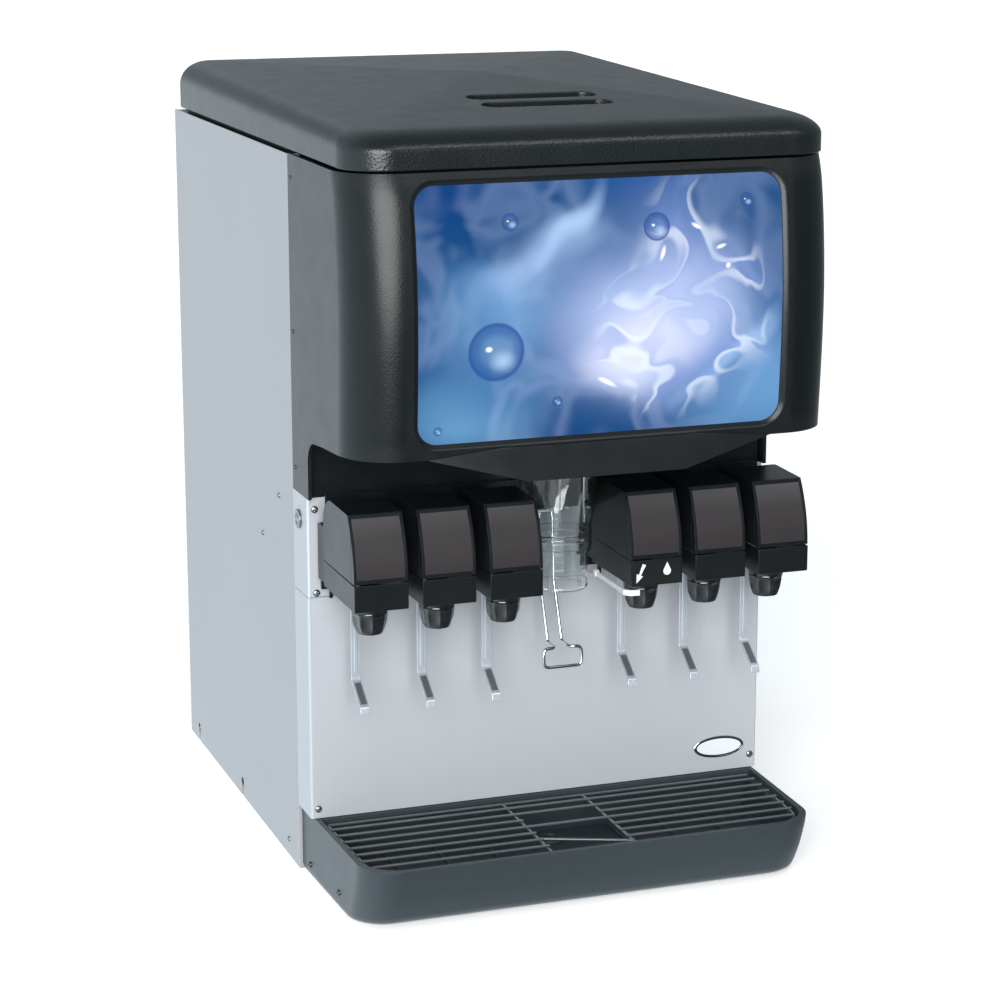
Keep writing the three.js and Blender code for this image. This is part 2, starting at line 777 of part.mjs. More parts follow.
// A flat strip that hangs behind the nozzle and turns towards the cup at its lower end.
function cupLever(x) {
  const half = 6;
  const thick = 0.8;
  const front = [
    [LEVER_PIVOT.y - thick, LEVER_PIVOT.z],
    [-102, 300],
    [-102, 256],
    [-104, 252.5],
    [-136, 239.5],
    [-138, 236.5],
    [-138, 227],
  ];
  const back = front.map(([y, z], i) => [y + 2 * thick, i > 2 && i < 6 ? z - 1.2 : z]).reverse();
  const strip = across([...front, ...back], x - half, x + half);
  const { y, z } = LEVER_PIVOT;
  const eye = bar([x - 8.5, y, z], [x + 8.5, y, z], 4, 8);
  const pin = bar([x - 13, y, z], [x + 13, y, z], 2, 8);
  return join(strip, eye, pin);
}

// Plain-water lever of the valve beside the chute: runs along under its cover and turns in front of the nozzle.
const WATER_LEVER = { valve: 83, y: -112, z: 357.5 };

function waterLever() {
  const left = WATER_LEVER.valve - 37.5;
  const { y, z } = WATER_LEVER;
  const thick = 2;
  const high = 2.8;
  const arm = block([left, left + thick], [-186, y + 3], [z - high, z + high]);
  const tipOutline = [
    [left, -182],
    [left, -197],
    [left + 6, -204],
    [left + 17, -205],
    [left + 17, -202.5],
    [left + 7, -201.5],
    [left + thick, -196],
    [left + thick, -182],
  ];
  const tip = raised(tipOutline, z - high - 1, z + high);
  const hub = bar([left - 1.5, y, z], [left + 4, y, z], 4.2, 16);
  return join(arm, tip, hub);
}

// Key switch on the left side of the splash

function keySwitchBarrel() {
  const { y, z, barrel, bezel } = KEY;
  const body = bar([-HALF - 1, y, z], [-HALF + 22, y, z], barrel, 20);
  const ring = bar([-HALF - 2.6, y, z], [-HALF - GAP, y, z], bezel, 24);
  const bore = bar([-HALF - 5, y, z], [-HALF + 19, y, z], 6.3, 20);
  return cut(join(body, ring), bore);
}

function keySwitchRotor() {
  const { y, z } = KEY;
  const plug = bar([-HALF - 2.2, y, z], [-HALF + 18, y, z], 5.9, 20);
  const slot = block([-HALF - 5, -HALF + 8], [y - 0.9, y + 0.9], [z - 4, z + 4]);
  return cut(plug, slot);
}

// Lid: foam-filled cover with a round shoulder, two finger grooves and a skirt over the hopper rim

const LID_HALF = 277;
const LID_FRONT = -231;
const LID_BACK = CABINET_BACK;
const LID_MIDDLE = (LID_FRONT + LID_BACK) / 2;
const LID_SLOPE = 0.027;
const LID_CROWN = 18;

// Height of the lid's top: it falls towards the front and rises to a shallow hipped crown in the middle.
function lidTop(x, y) {
  const sideShare = Math.abs(x) / LID_HALF;
  const endShare = Math.abs(y - LID_MIDDLE) / (LID_BACK - LID_MIDDLE);
  return LID_TOP - LID_SLOPE * (LID_BACK - y) + LID_CROWN * (1 - Math.max(sideShare, endShare));
}

// Plan of the lid, pulled in at the sides by one amount and in front by another.
function lidPlan(sideInset, frontInset) {
  const half = LID_HALF - sideInset;
  const front = LID_FRONT + frontInset;
  const back = LID_BACK - sideInset;
  const frontRadius = 50 - sideInset * 0.5;
  const backRadius = 26 - sideInset * 0.4;
  return [
    ...arc(-half + frontRadius, front + frontRadius, frontRadius, 180, 270, 6),
    ...arc(half - frontRadius, front + frontRadius, frontRadius, 270, 360, 6),
    ...arc(half - backRadius, back - backRadius, backRadius, 0, 90, 4),
    ...arc(-half + backRadius, back - backRadius, backRadius, 90, 180, 4),
  ];
}

// The same plan at a share of the lid's height.
function lidRing(share, sideInset, frontInset) {
  const rise = (x, y) => LID_LIP + (lidTop(x, y) - LID_LIP) * share;
  return lidPlan(sideInset, frontInset).map(([x, y]) => [x, y, rise(x, y)]);
}

// A point of the crowned top, drawn towards the middle of the lid.
function crownPoint(x, y, share) {
  const nearX = x * share;
  const nearY = LID_MIDDLE + (y - LID_MIDDLE) * share;
  return [nearX, nearY, lidTop(nearX, nearY)];
}

const SHOULDER = { side: 30, front: 40 };
const GRIP = { half: 77, width: 32, depth: 9, places: [-72, -20] };

function gripCutter(y) {
  const edge = GRIP.width / 2;
  const floor = lidTop(0, y) - GRIP.depth;
  const outline = roundedRectangle([-GRIP.half, GRIP.half], [y - edge, y + edge], edge - 0.1);
  return raised(outline, floor, floor + 30);
}

function lid() {
  const shoulder = [0, 18, 36, 54, 72, 90].map((degrees) => {
    const angle = THREE.MathUtils.degToRad(degrees);
    const run = 1 - Math.cos(angle);
    return lidRing(0.5 + 0.5 * Math.sin(angle), SHOULDER.side * run, SHOULDER.front * run);
  });
  const edge = lidPlan(SHOULDER.side, SHOULDER.front);
  const crown = [0.7, 0.4, 0.1].map((share) => edge.map(([x, y]) => crownPoint(x, y, share)));
  const body = loft([lidRing(0, 0, 0), ...shoulder, ...crown]);
  const hopperRimSpace = raised(lidPlan(3.5, 4), LID_LIP - 5, RIM_Z + GAP);
  return cut(body, hopperRimSpace, ...GRIP.places.map(gripCutter));
}

// Electrical parts behind the splash

function transformer() {
  const core = block([-230, -160], [-44, -2], [150, 210]);
  const coil = block([-218, -172], [-48, 4], [160, 200]);
  const foot = block([-240, -150], [-48, 4], [146, 151]);
  return join(core, coil, foot);
}

function controlBox() {
  const box = block([120, 240], [-46, 4], [150, 270]);
  const glandBoss = bar([180, -21, 140], [180, -21, 151], 9, 12);
  return join(box, glandBoss);
}

add("left_side_panel", "stainless", sidePanel(-1));
add("right_side_panel", "stainless", sidePanel(1));
add("back_panel", "stainless", backPanel());
add("base_pan", "stainless", basePan());
add("power_gland", "black_plastic", powerGland());
add("lower_splash", "stainless", splashSheet(SPLASH_BOTTOM, SPLASH_SEAM - GAP));
add("upper_splash", "stainless", upperSplash());
add("drip_tray", "black_plastic", dripTray());
add("drain_fitting", "black_plastic", drainFitting());
add("cup_rest", "coated_wire", cupRest());
add("merchandiser_frame", "black_plastic", merchandiserFrame());
add("graphic_panel", "graphic", graphicPanel());
add("inner_wall", "black_plastic", innerWall());
add("lamp_tube", "white_plastic", lampTube());
add("lamp_reflector", "aluminium", lampReflector());
add("hopper_liner", "white_plastic", hopperLiner());
add("hopper_foam", "foam", hopperFoam());
add("cold_plate", "aluminium", coldPlate());
add("product_lines", "stainless", productLines());
add("agitator_motor", "black_plastic", agitatorMotor());
add("agitator_shaft", "stainless", agitatorShaft());
add("paddle_wheel", "white_plastic", paddleWheel());
add("chute_housing", "clear_plastic", chuteHousing());
add("ice_chute", "clear_plastic", iceChute());
add("chute_gate", "white_plastic", chuteGate());
add("gate_solenoid", "black_plastic", gateSolenoid());
add("ice_lever", "chrome", iceLever());
VALVE_CENTRES.forEach((x, i) => {
  const number = i + 1;
  add(`valve_body_${number}`, "black_plastic", valveBody(x));
  add(`valve_cover_${number}`, "black_plastic", valveCover(x));
  add(`nozzle_${number}`, "gloss_black", nozzle(x));
  add(`cup_lever_${number}`, "stainless", cupLever(x));
});
add("water_lever", "white_plastic", waterLever());
add("key_switch_barrel", "chrome", keySwitchBarrel());
add("key_switch_rotor", "chrome", keySwitchRotor());
add("lid", "black_plastic", lid());
add("transformer", "black_plastic", transformer());
add("control_box", "stainless", controlBox());

dispenser.position.y = -(CABINET_BACK + CHIN_FRONT) / 2;

export default dispenser;
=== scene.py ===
"""Looks of the fountain soda dispenser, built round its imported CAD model.

The model is in metres, with +Z up and -Y towards the customer. Shapes are drawn in millimetres,
and at() turns them into metres.
"""

import json
import math
import random

import bmesh
import bpy
from mathutils import Matrix, Vector

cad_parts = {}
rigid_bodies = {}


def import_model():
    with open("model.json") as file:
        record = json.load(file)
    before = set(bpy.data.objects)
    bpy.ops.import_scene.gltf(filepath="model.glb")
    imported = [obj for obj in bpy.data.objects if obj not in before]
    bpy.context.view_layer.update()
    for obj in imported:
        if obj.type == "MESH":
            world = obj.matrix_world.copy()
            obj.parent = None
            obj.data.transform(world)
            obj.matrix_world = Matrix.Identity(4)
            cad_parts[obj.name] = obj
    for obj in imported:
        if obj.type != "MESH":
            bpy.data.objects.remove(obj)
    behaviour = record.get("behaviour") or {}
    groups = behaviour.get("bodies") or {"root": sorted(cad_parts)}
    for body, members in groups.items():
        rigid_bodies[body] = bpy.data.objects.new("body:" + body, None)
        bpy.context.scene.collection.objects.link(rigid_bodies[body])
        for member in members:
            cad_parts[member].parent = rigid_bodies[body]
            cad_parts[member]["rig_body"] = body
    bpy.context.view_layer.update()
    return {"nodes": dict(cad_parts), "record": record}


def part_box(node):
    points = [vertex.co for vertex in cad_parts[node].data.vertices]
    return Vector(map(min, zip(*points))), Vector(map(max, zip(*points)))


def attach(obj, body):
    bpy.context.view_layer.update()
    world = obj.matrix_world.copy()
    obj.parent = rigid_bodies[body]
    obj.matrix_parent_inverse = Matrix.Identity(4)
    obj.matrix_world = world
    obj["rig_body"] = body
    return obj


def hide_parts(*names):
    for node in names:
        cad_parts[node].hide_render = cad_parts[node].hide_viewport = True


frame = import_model()
scene = bpy.context.scene
random.seed(22)

MM = 0.001
DATUM_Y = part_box("left_side_panel")[0].y  # front edge of the side panels
SLOTS = {part["node"]: part["material_slot"] for part in frame["record"]["subparts"]}

# Driving dimensions, in millimetres: y from the front edge of the side panels, z from the floor
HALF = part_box("right_side_panel")[1].x / MM
CABINET_BACK = 546
SPLASH_FRONT = -54
SPLASH_TOP = 458.5
VALVES = [sum(corner.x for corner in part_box(f"valve_cover_{n}")) / 2 / MM for n in range(1, 7)]
VALVE_HALF = 30.65
VALVE_BOTTOM = 364
VALVE_SEAM = 394
VALVE_TOP = 468.5
VALVE_FRONT = -204
COVER_WALL = 2.4
COVER_REAR = -84
COVER_REAR_RADIUS = 32
INSERT_MARGIN = 3.4
MOUNT_REAR = -58.8
MOUNT_TOP = 431
NOZZLE_Y = -158
CUP_LEVER_PIVOT = (-100, 376)
CHUTE_Y = -112
CHUTE_WALL = 3
DUCT = (574, 648)
ICE_LEVER_PIVOT = (-64, 425)
FRAME_TOP = 838
FRAME_LIP = 536
FRAME_WALL = 4
FRAME_CORNER = 60
WINDOW = {"half": 208.5, "low": 551.5, "high": 824.5, "corner": 22}
# The surround's front in side view: (height, y)
BULGE = [
    (SPLASH_TOP, -238), (FRAME_LIP, -244), (620, -249.5), (690, -251), (756, -246.5), (815, -237),
    (FRAME_TOP, -228),
]
TRAY_TOP = 79
TRAY_CORNER = 44
LEDGE = 70.5
DRAIN_Y = -92
LID_LIP = 841
LID_HALF = 277
LID_FRONT = -231
LID_MIDDLE = (LID_FRONT + CABINET_BACK) / 2
LID_EDGE = 30  # how far the rounded edge reaches in at the sides
LID_FRONT_EDGE = 40
LID_CROWN = 18
SEAT = 0.3  # gap between pieces that touch
SHARP = 32  # degrees from which an edge is shaded sharp


def at(x, y, z):
    """A point in metres, from millimetres across, behind the panels' front edge and above the floor."""
    return Vector((x * MM, DATUM_Y + y * MM, z * MM))


def added(name, data):
    """A new object in the scene."""
    obj = bpy.data.objects.new(name, data)
    scene.collection.objects.link(obj)
    return obj


# Camera, light and floor


def make_camera():
    heading = math.radians(19.56)
    dip = math.radians(13.58)
    data = bpy.data.cameras.new("camera")
    data.lens = 99.07
    data.sensor_width = 36
    camera = added("camera", data)
    level = math.cos(dip)
    gaze = Vector((math.sin(heading) * level, math.cos(heading) * level, -math.sin(dip)))
    camera.location = at(-1075, -2940, 1178)
    camera.rotation_euler = gaze.to_track_quat("-Z", "Y").to_euler()
    scene.camera = camera


def add_light(name, kind, gaze, place=(0, 0, 0), **settings):
    data = bpy.data.lights.new(name, kind)
    for key, value in settings.items():
        setattr(data, key, value)
    lamp = added(name, data)
    lamp.location = place
    lamp.rotation_euler = Vector(gaze).to_track_quat("-Z", "Y").to_euler()


def glow(nodes, towards, near, far):
    """Light level by direction, from far to near: each says how directly it faces, and how bright it is."""
    place = nodes.node("TexCoord").outputs["Generated"]
    aim = Vector(towards).normalized()
    facing = nodes.node("VectorMath", {"operation": "DOT_PRODUCT"}, i0=place, i1=aim).outputs["Value"]
    limits = {"From_Min": far[0], "To_Min": far[1], "From_Max": near[0], "To_Max": near[1]}
    return nodes.node("MapRange", Value=facing, **limits).outputs["Result"]


def make_world():
    """A soft room, bright low at the left and dim high at the right, with three darker places."""
    world = bpy.data.worlds.new("studio")
    world.use_nodes = True
    nodes = Nodes(world.node_tree)
    level = glow(nodes, (-0.78, 0.27, -0.56), near=(1.0, 1.75), far=(-0.48, 0.30))
    dark_end = glow(nodes, (0.25, -0.80, -0.55), near=(0.95, 0.3), far=(0.3, 1.0))
    low_rear = glow(nodes, (0.34, 0.93, 0.10), near=(0.99, 0.6), far=(0.94, 1.0))
    high_rear = glow(nodes, (-0.22, 0.92, 0.32), near=(0.99, 0.4), far=(0.955, 1.0))
    for dimming in (dark_end, low_rear, high_rear):
        level = nodes.math("MULTIPLY", level, dimming)
    nodes.feed(nodes.tree.nodes["Background"], Color=rgba((0.82, 0.93, 1.0)), Strength=level)
    scene.world = world


def make_studio():
    make_world()
    # A wide, low sun in front, a little to the left, and a softbox high at the right
    add_light("sun", "SUN", (0.38, 0.90, -0.24), energy=6.2, angle=math.radians(46))
    place, middle = Vector((0.85, -1.8, 2.9)), Vector((0, 0, 0.45))
    box = {"shape": "RECTANGLE", "size": 1.5, "size_y": 0.8}
    add_light("top_right", "AREA", middle - place, place, energy=15, **box)
    reach, thick = 20000, 6
    floor = loft([square(reach, -thick), square(reach, 0)], "floor")
    floor.data.materials.append(lit_sweep("floor"))
    floor.visible_glossy = False
    scene.view_settings.view_transform = "Standard"


def square(half, z):
    return [(x * half, y * half, z) for x, y in ((-1, -1), (1, -1), (1, 1), (-1, 1))]


# Mesh building


def build(name, vertices, faces):
    """A linked object from points in millimetres, welded and with its faces turned outwards."""
    mesh = bpy.data.meshes.new(name)
    mesh.from_pydata([at(*point) for point in vertices], [], faces)
    work = bmesh.new()
    work.from_mesh(mesh)
    bmesh.ops.remove_doubles(work, verts=work.verts, dist=1e-6)
    bmesh.ops.recalc_face_normals(work, faces=work.faces)
    work.to_mesh(mesh)
    work.free()
    return added(name, mesh)


def skin(rings, wrap=False):
    """Faces that join each ring to the next, and the last to the first when wrap is set."""
    count = len(rings[0])
    pairs = [(i, i + 1) for i in range(len(rings) - 1)]
    if wrap:
        pairs.append((len(rings) - 1, 0))
    faces = []
    for low, high in pairs:
        for i in range(count):
            j = (i + 1) % count
            faces.append((low * count + i, low * count + j, high * count + j, high * count + i))
    return faces


def loft(rings, name="shape", closed=False):
    """A body through rings of points, capped at both ends, or joined end to end when closed."""
    count = len(rings[0])
    last = (len(rings) - 1) * count
    caps = [] if closed else [tuple(reversed(range(count))), tuple(range(last, last + count))]
    return build(name, [point for ring in rings for point in ring], skin(rings, closed) + caps)


def prism(outline, low, high, axis="z"):
    """An outline carried along an axis: (x, y) along z, (x, z) along y or (y, z) along x."""
    turn = {
        "x": lambda u, v, w: (w, u, v),
        "y": lambda u, v, w: (u, w, v),
        "z": lambda u, v, w: (u, v, w),
    }[axis]
    return loft([[turn(u, v, w) for u, v in outline] for w in (low, high)])


def block(x, y, z):
    return prism([(x[0], y[0]), (x[1], y[0]), (x[1], y[1]), (x[0], y[1])], z[0], z[1])


def arc(u, v, radius, start, end, steps):
    angles = [math.radians(start + (end - start) * i / steps) for i in range(steps + 1)]
    return [(u + radius * math.cos(a), v + radius * math.sin(a)) for a in angles]


def circle(u, v, radius, steps=48):
    return arc(u, v, radius, 0, 360 - 360 / steps, steps - 1)


def rounded_box(u0, u1, v0, v1, radius, steps=8):
    return [
        *arc(u1 - radius, v0 + radius, radius, -90, 0, steps),
        *arc(u1 - radius, v1 - radius, radius, 0, 90, steps),
        *arc(u0 + radius, v1 - radius, radius, 90, 180, steps),
        *arc(u0 + radius, v0 + radius, radius, 180, 270, steps),
    ]


def lathe(profile, x, y, sides=64, closed=False, shape=None):
    """A body turned about the vertical line through (x, y). shape(radius, angle, z) may move the radius."""
    rings = []
    for radius, z in profile:
        ring = []
        for i in range(sides):
            angle = math.tau * i / sides
            r = shape(radius, angle, z) if shape else radius
            ring.append((x + r * math.cos(angle), y + r * math.sin(angle), z))
        rings.append(ring)
    return loft(rings, closed=closed)


def fillet(points, radius, steps=6):
    """A line of points with its inner corners rounded."""
    path = [Vector(points[0])]
    for before, corner, after in zip(points, points[1:], points[2:]):
        corner = Vector(corner)
        back = Vector(before) - corner
        ahead = Vector(after) - corner
        reach = min(radius / math.tan(back.angle(ahead) / 2), 0.48 * back.length, 0.48 * ahead.length)
        start = corner + back.normalized() * reach
        end = corner + ahead.normalized() * reach
        for i in range(steps + 1):
            t = i / steps
            path.append(start.lerp(corner, t).lerp(corner.lerp(end, t), t))
    path.append(Vector(points[-1]))
    return path


def sweep(path, radius, sides=12):
    """A round bar along a line of points, with domed ends."""
    path = [Vector(point) for point in path]
    normal = None
    rings = []
    for i, point in enumerate(path):
        ahead = (path[min(i + 1, len(path) - 1)] - path[max(i - 1, 0)]).normalized()
        if normal is None:
            normal = ahead.orthogonal().normalized()
        normal = (normal - ahead * normal.dot(ahead)).normalized()
        side = ahead.cross(normal)
        turns = [math.tau * j / sides for j in range(sides)]
        rings.append([point + (normal * math.cos(a) + side * math.sin(a)) * radius for a in turns])
    first = domed_tip(rings[0], path[0], path[0] - path[1], radius)
    last = domed_tip(rings[-1], path[-1], path[-1] - path[-2], radius)
    return loft([first, *rings, last])


def domed_tip(ring, centre, outward, radius):
    """A smaller ring a little past the end of a bar."""
    dome = 0.45
    step = outward.normalized() * radius * dome
    return [centre + (point - centre) * (1 - dome) + step for point in ring]


def settle(obj):
    """Makes an object's modifiers part of its mesh."""
    evaluated = obj.evaluated_get(bpy.context.evaluated_depsgraph_get())
    mesh = bpy.data.meshes.new_from_object(evaluated)
    obj.modifiers.clear()
    obj.data = mesh


def combine(target, tools, operation="DIFFERENCE"):
    """Cuts the tools out of the target, or adds them to it, and deletes them."""
    for tool in tools:
        modifier = target.modifiers.new("combine", "BOOLEAN")
        modifier.operation = operation
        modifier.solver = "EXACT"
        modifier.object = tool
    settle(target)
    for tool in tools:
        bpy.data.objects.remove(tool)
    return target


def merge(shapes):
    """Puts separate bodies into one object."""
    work = bmesh.new()
    for shape in shapes:
        work.from_mesh(shape.data)
    work.to_mesh(shapes[0].data)
    work.free()
    for shape in shapes[1:]:
        bpy.data.objects.remove(shape)
    return shapes[0]


def dress(obj, name, body, slot, bevel=0.0, segments=3, stands_for=(), look=None, sharp=SHARP):
    """Turns a shape into a named piece: rounded edges, smooth shading, its material and its body."""
    obj.name = name
    mesh = obj.data
    mesh.name = name
    mesh.materials.clear()
    mesh.materials.append(look or LOOKS[slot])
    for polygon in mesh.polygons:
        polygon.use_smooth = True
    mesh.set_sharp_from_angle(angle=math.radians(sharp))
    if bevel:
        modifier = obj.modifiers.new("round_edges", "BEVEL")
        modifier.width = bevel * MM
        modifier.segments = segments
        modifier.limit_method = "ANGLE"
        modifier.angle_limit = math.radians(sharp)
        modifier.miter_outer = "MITER_ARC"
        modifier.use_clamp_overlap = True
        weights = obj.modifiers.new("even_normals", "WEIGHTED_NORMAL")
        weights.keep_sharp = True
    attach(obj, body)
    if stands_for:
        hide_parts(*stands_for)
    return obj


def body_of(node):
    return frame["nodes"][node]["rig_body"]


def refined(node, bevel, look=None):
    """A piece with the shape of a CAD node, its edges rounded, that stands for it."""
    work = bmesh.new()
    work.from_mesh(frame["nodes"][node].data)
    bmesh.ops.remove_doubles(work, verts=work.verts, dist=1e-6)
    bmesh.ops.dissolve_limit(work, angle_limit=math.radians(1), verts=work.verts, edges=work.edges)
    mesh = bpy.data.meshes.new(node)
    work.to_mesh(mesh)
    work.free()
    return dress(added(node, mesh), f"{node}_finished", body_of(node), SLOTS[node], bevel, 2, (node,), look)


# Materials


class Nodes:
    """A node tree, with a short way to add and join nodes."""

    def __init__(self, tree):
        self.tree = tree

    def node(self, kind, settings=None, **inputs):
        node = self.tree.nodes.new(f"ShaderNode{kind}")
        for key, value in (settings or {}).items():
            setattr(node, key, value)
        self.feed(node, **inputs)
        return node

    def feed(self, node, **inputs):
        for key, value in inputs.items():
            socket = node.inputs[int(key[1:]) if key[1:].isdigit() else key.replace("_", " ")]
            if isinstance(value, bpy.types.NodeSocket):
                self.tree.links.new(value, socket)
            else:
                socket.default_value = value

    def math(self, operation, a, b):
        return self.node("Math", {"operation": operation}, i0=a, i1=b).outputs[0]


class Shader(Nodes):
    """The nodes of a new material."""

    def __init__(self, name):
        self.material = bpy.data.materials.new(name)
        self.material.use_nodes = True
        super().__init__(self.material.node_tree)
        self.place = self.node("TexCoord").outputs["Object"]

    def finish(self, **inputs):
        self.feed(self.tree.nodes["Principled BSDF"], **inputs)
        return self.material

    def mix(self, factor, a, b):
        return self.node("MixRGB", Fac=factor, Color1=a, Color2=b).outputs["Color"]

    def ramp(self, factor, stops, ease="LINEAR"):
        node = self.node("ValToRGB", Fac=factor)
        node.color_ramp.interpolation = ease
        points = node.color_ramp.elements
        while len(points) < len(stops):
            points.new(0.5)
        for point, (position, colour) in zip(points, stops):
            point.position = position
            point.color = colour if len(colour) == 4 else (*colour, 1)
        return node.outputs["Color"]

    def noise(self, scale, detail=3.0, stretch=(1, 1, 1), distortion=0.0):
        spot = self.node("Mapping", Vector=self.place, Scale=stretch).outputs["Vector"]
        node = self.node("TexNoise", Vector=spot, Scale=scale, Detail=detail, Distortion=distortion)
        return node.outputs["Fac"]

    def span(self, factor, low, high):
        """Maps 0 to 1 onto low to high."""
        return self.node("MapRange", Value=factor, To_Min=low, To_Max=high).outputs["Result"]

    def bump(self, height, depth_mm, strength=1.0, normal=None):
        inputs = {"Normal": normal} if normal else {}
        node = self.node("Bump", Height=height, Distance=depth_mm * MM, Strength=strength, **inputs)
        return node.outputs["Normal"]


def rgba(colour, factor=1.0):
    return (*[channel * factor for channel in colour], 1)


def lit_sweep(name):
    """White sweep with a little light from behind, as on a light table."""
    shader = Shader(name)
    tone = shader.mix(shader.noise(0.6, 2), grey(0.95), grey(0.93))
    return shader.finish(Base_Color=tone, Roughness=0.9, Emission_Color=tone, Emission_Strength=0.28)


def moulded_plastic(name, colour, roughness, grain_mm, depth_mm, wear, gloss):
    """Injection-moulded plastic: cell grain, a slow drift of tone and paler rubbed edges."""
    shader = Shader(name)
    drift = shader.noise(7, 4)
    mottle = shader.noise(90, 3)
    tone = shader.mix(drift, rgba(colour, 0.88), rgba(colour, 1.14))
    tone = shader.mix(shader.span(mottle, 0, 0.35), tone, rgba(colour, 1.3))
    edge = shader.node("NewGeometry").outputs["Pointiness"]
    rubbed = shader.ramp(edge, [(0.52, (0, 0, 0)), (0.62, (1, 1, 1))])
    rubbed = shader.math("MULTIPLY", rubbed, shader.span(shader.noise(40, 4), 0, wear))
    tone = shader.mix(rubbed, tone, rgba([0.5 * channel + 0.1 for channel in colour]))
    rough = shader.span(shader.noise(28, 5), roughness - 0.05, roughness + 0.06)
    normal = shader.bump(shader.noise(5, 2), 0.4, 0.25)
    if grain_mm:
        cells = shader.node(
            "TexVoronoi",
            {"feature": "SMOOTH_F1"},
            Vector=shader.place,
            Scale=1 / (grain_mm * MM),
            Smoothness=0.4,
        )
        normal = shader.bump(cells.outputs["Distance"], depth_mm, 0.8, normal)
    else:
        normal = shader.bump(shader.noise(700, 2), depth_mm, 0.5, normal)
    return shader.finish(Base_Color=tone, Roughness=rough, Normal=normal, Specular_IOR_Level=gloss)


def sheet_metal(name, colour, roughness, stretch, brush, metallic):
    """Rolled or polished metal: fine lines along the rolling direction and faint handling marks."""
    shader = Shader(name)
    lines = shader.noise(260, 3, stretch)
    marks = shader.noise(4, 5, distortion=0.4)
    tone = shader.mix(lines, rgba(colour, 0.96), rgba(colour, 1.03))
    tone = shader.mix(shader.span(marks, 0, 0.4), tone, rgba(colour, 0.94))
    spread = shader.math("ADD", shader.math("MULTIPLY", lines, brush), shader.math("MULTIPLY", marks, 0.08))
    rough = shader.math("ADD", spread, roughness - 0.06)
    normal = shader.bump(lines, 0.02, 0.15)
    return shader.finish(Base_Color=tone, Roughness=rough, Metallic=metallic, Normal=normal)


def cast_surface(name, colour, roughness, metallic, scale, depth_mm):
    """Cast, foamed or painted surfaces: coarse lumps with darker pits."""
    shader = Shader(name)
    lumps = shader.noise(scale, 6)
    tone = shader.ramp(lumps, [(0.3, rgba(colour, 0.7)), (0.55, rgba(colour)), (0.8, rgba(colour, 1.15))])
    rough = shader.span(lumps, roughness - 0.1, roughness + 0.1)
    normal = shader.bump(lumps, depth_mm, 0.6)
    return shader.finish(Base_Color=tone, Roughness=rough, Metallic=metallic, Normal=normal)


def clear_plastic(name):
    """Clear polycarbonate with flow ripples and a little haze from wear."""
    shader = Shader(name)
    ripple = shader.noise(30, 2, (1, 1, 0.25))
    haze = shader.span(shader.noise(60, 5), 0.0, 0.04)
    tone = shader.mix(ripple, (0.93, 0.97, 0.98, 1), (0.98, 1, 1, 1))
    normal = shader.bump(ripple, 3.0, 0.6)
    return shader.finish(
        Base_Color=tone, Roughness=haze, Normal=normal, Transmission_Weight=1.0, IOR=1.46,
    )


def lamp_glass(name):
    """A frosted, glowing tube."""
    shader = Shader(name)
    frost = shader.noise(50, 4)
    tone = shader.mix(frost, (0.86, 0.88, 0.9, 1), (0.97, 0.98, 1, 1))
    return shader.finish(
        Base_Color=tone,
        Roughness=shader.span(frost, 0.3, 0.5),
        Emission_Color=tone,
        Emission_Strength=1.0,
    )


def spread(shader, where, x, z, half_width, half_height, turn=0.0):
    """Distance from (x, z) in the graphic's plane, as a share of the half-axes of a tilted ellipse."""
    flat = 1000.0  # depth counts for nothing
    spot = shader.node(
        "Mapping",
        {"vector_type": "TEXTURE"},
        Vector=where,
        Location=at(x, 0, z),
        Rotation=(0, math.radians(turn), 0),
        Scale=(half_width * MM, flat, half_height * MM),
    )
    return shader.node("VectorMath", {"operation": "LENGTH"}, i0=spot.outputs[0]).outputs["Value"]


def grey(level):
    return (level, level, level, 1)


def patch(shader, tone, where, colour, strength, ellipse, core=0.0):
    """Blends a soft-edged ellipse of colour over a tone."""
    fade = shader.ramp(spread(shader, where, *ellipse), [(core, grey(strength)), (1.0, grey(0))], "EASE")
    return shader.mix(fade, tone, rgba(colour))


def bubble(shader, tone, where, x, z, radius):
    """Paints one round bubble: a dark rim, a pale crescent inside it and a glint."""
    away = spread(shader, where, x, z, radius, radius)
    depth = [(0.4, grey(0.1)), (0.75, grey(0.6)), (0.9, grey(0.85)), (1.0, grey(0))]
    rim = shader.ramp(away, depth, "EASE")
    tone = shader.mix(rim, tone, rgba((0.02, 0.08, 0.30)))
    crescent = (x + 0.25 * radius, z - 0.3 * radius, 0.6 * radius, 0.5 * radius)
    glint = (x - 0.25 * radius, z + 0.1 * radius, 0.16 * radius, 0.12 * radius)
    tone = patch(shader, tone, where, (0.50, 0.68, 0.95), 0.6, crescent)
    return patch(shader, tone, where, (0.95, 0.98, 1), 1, glint, 0.3)


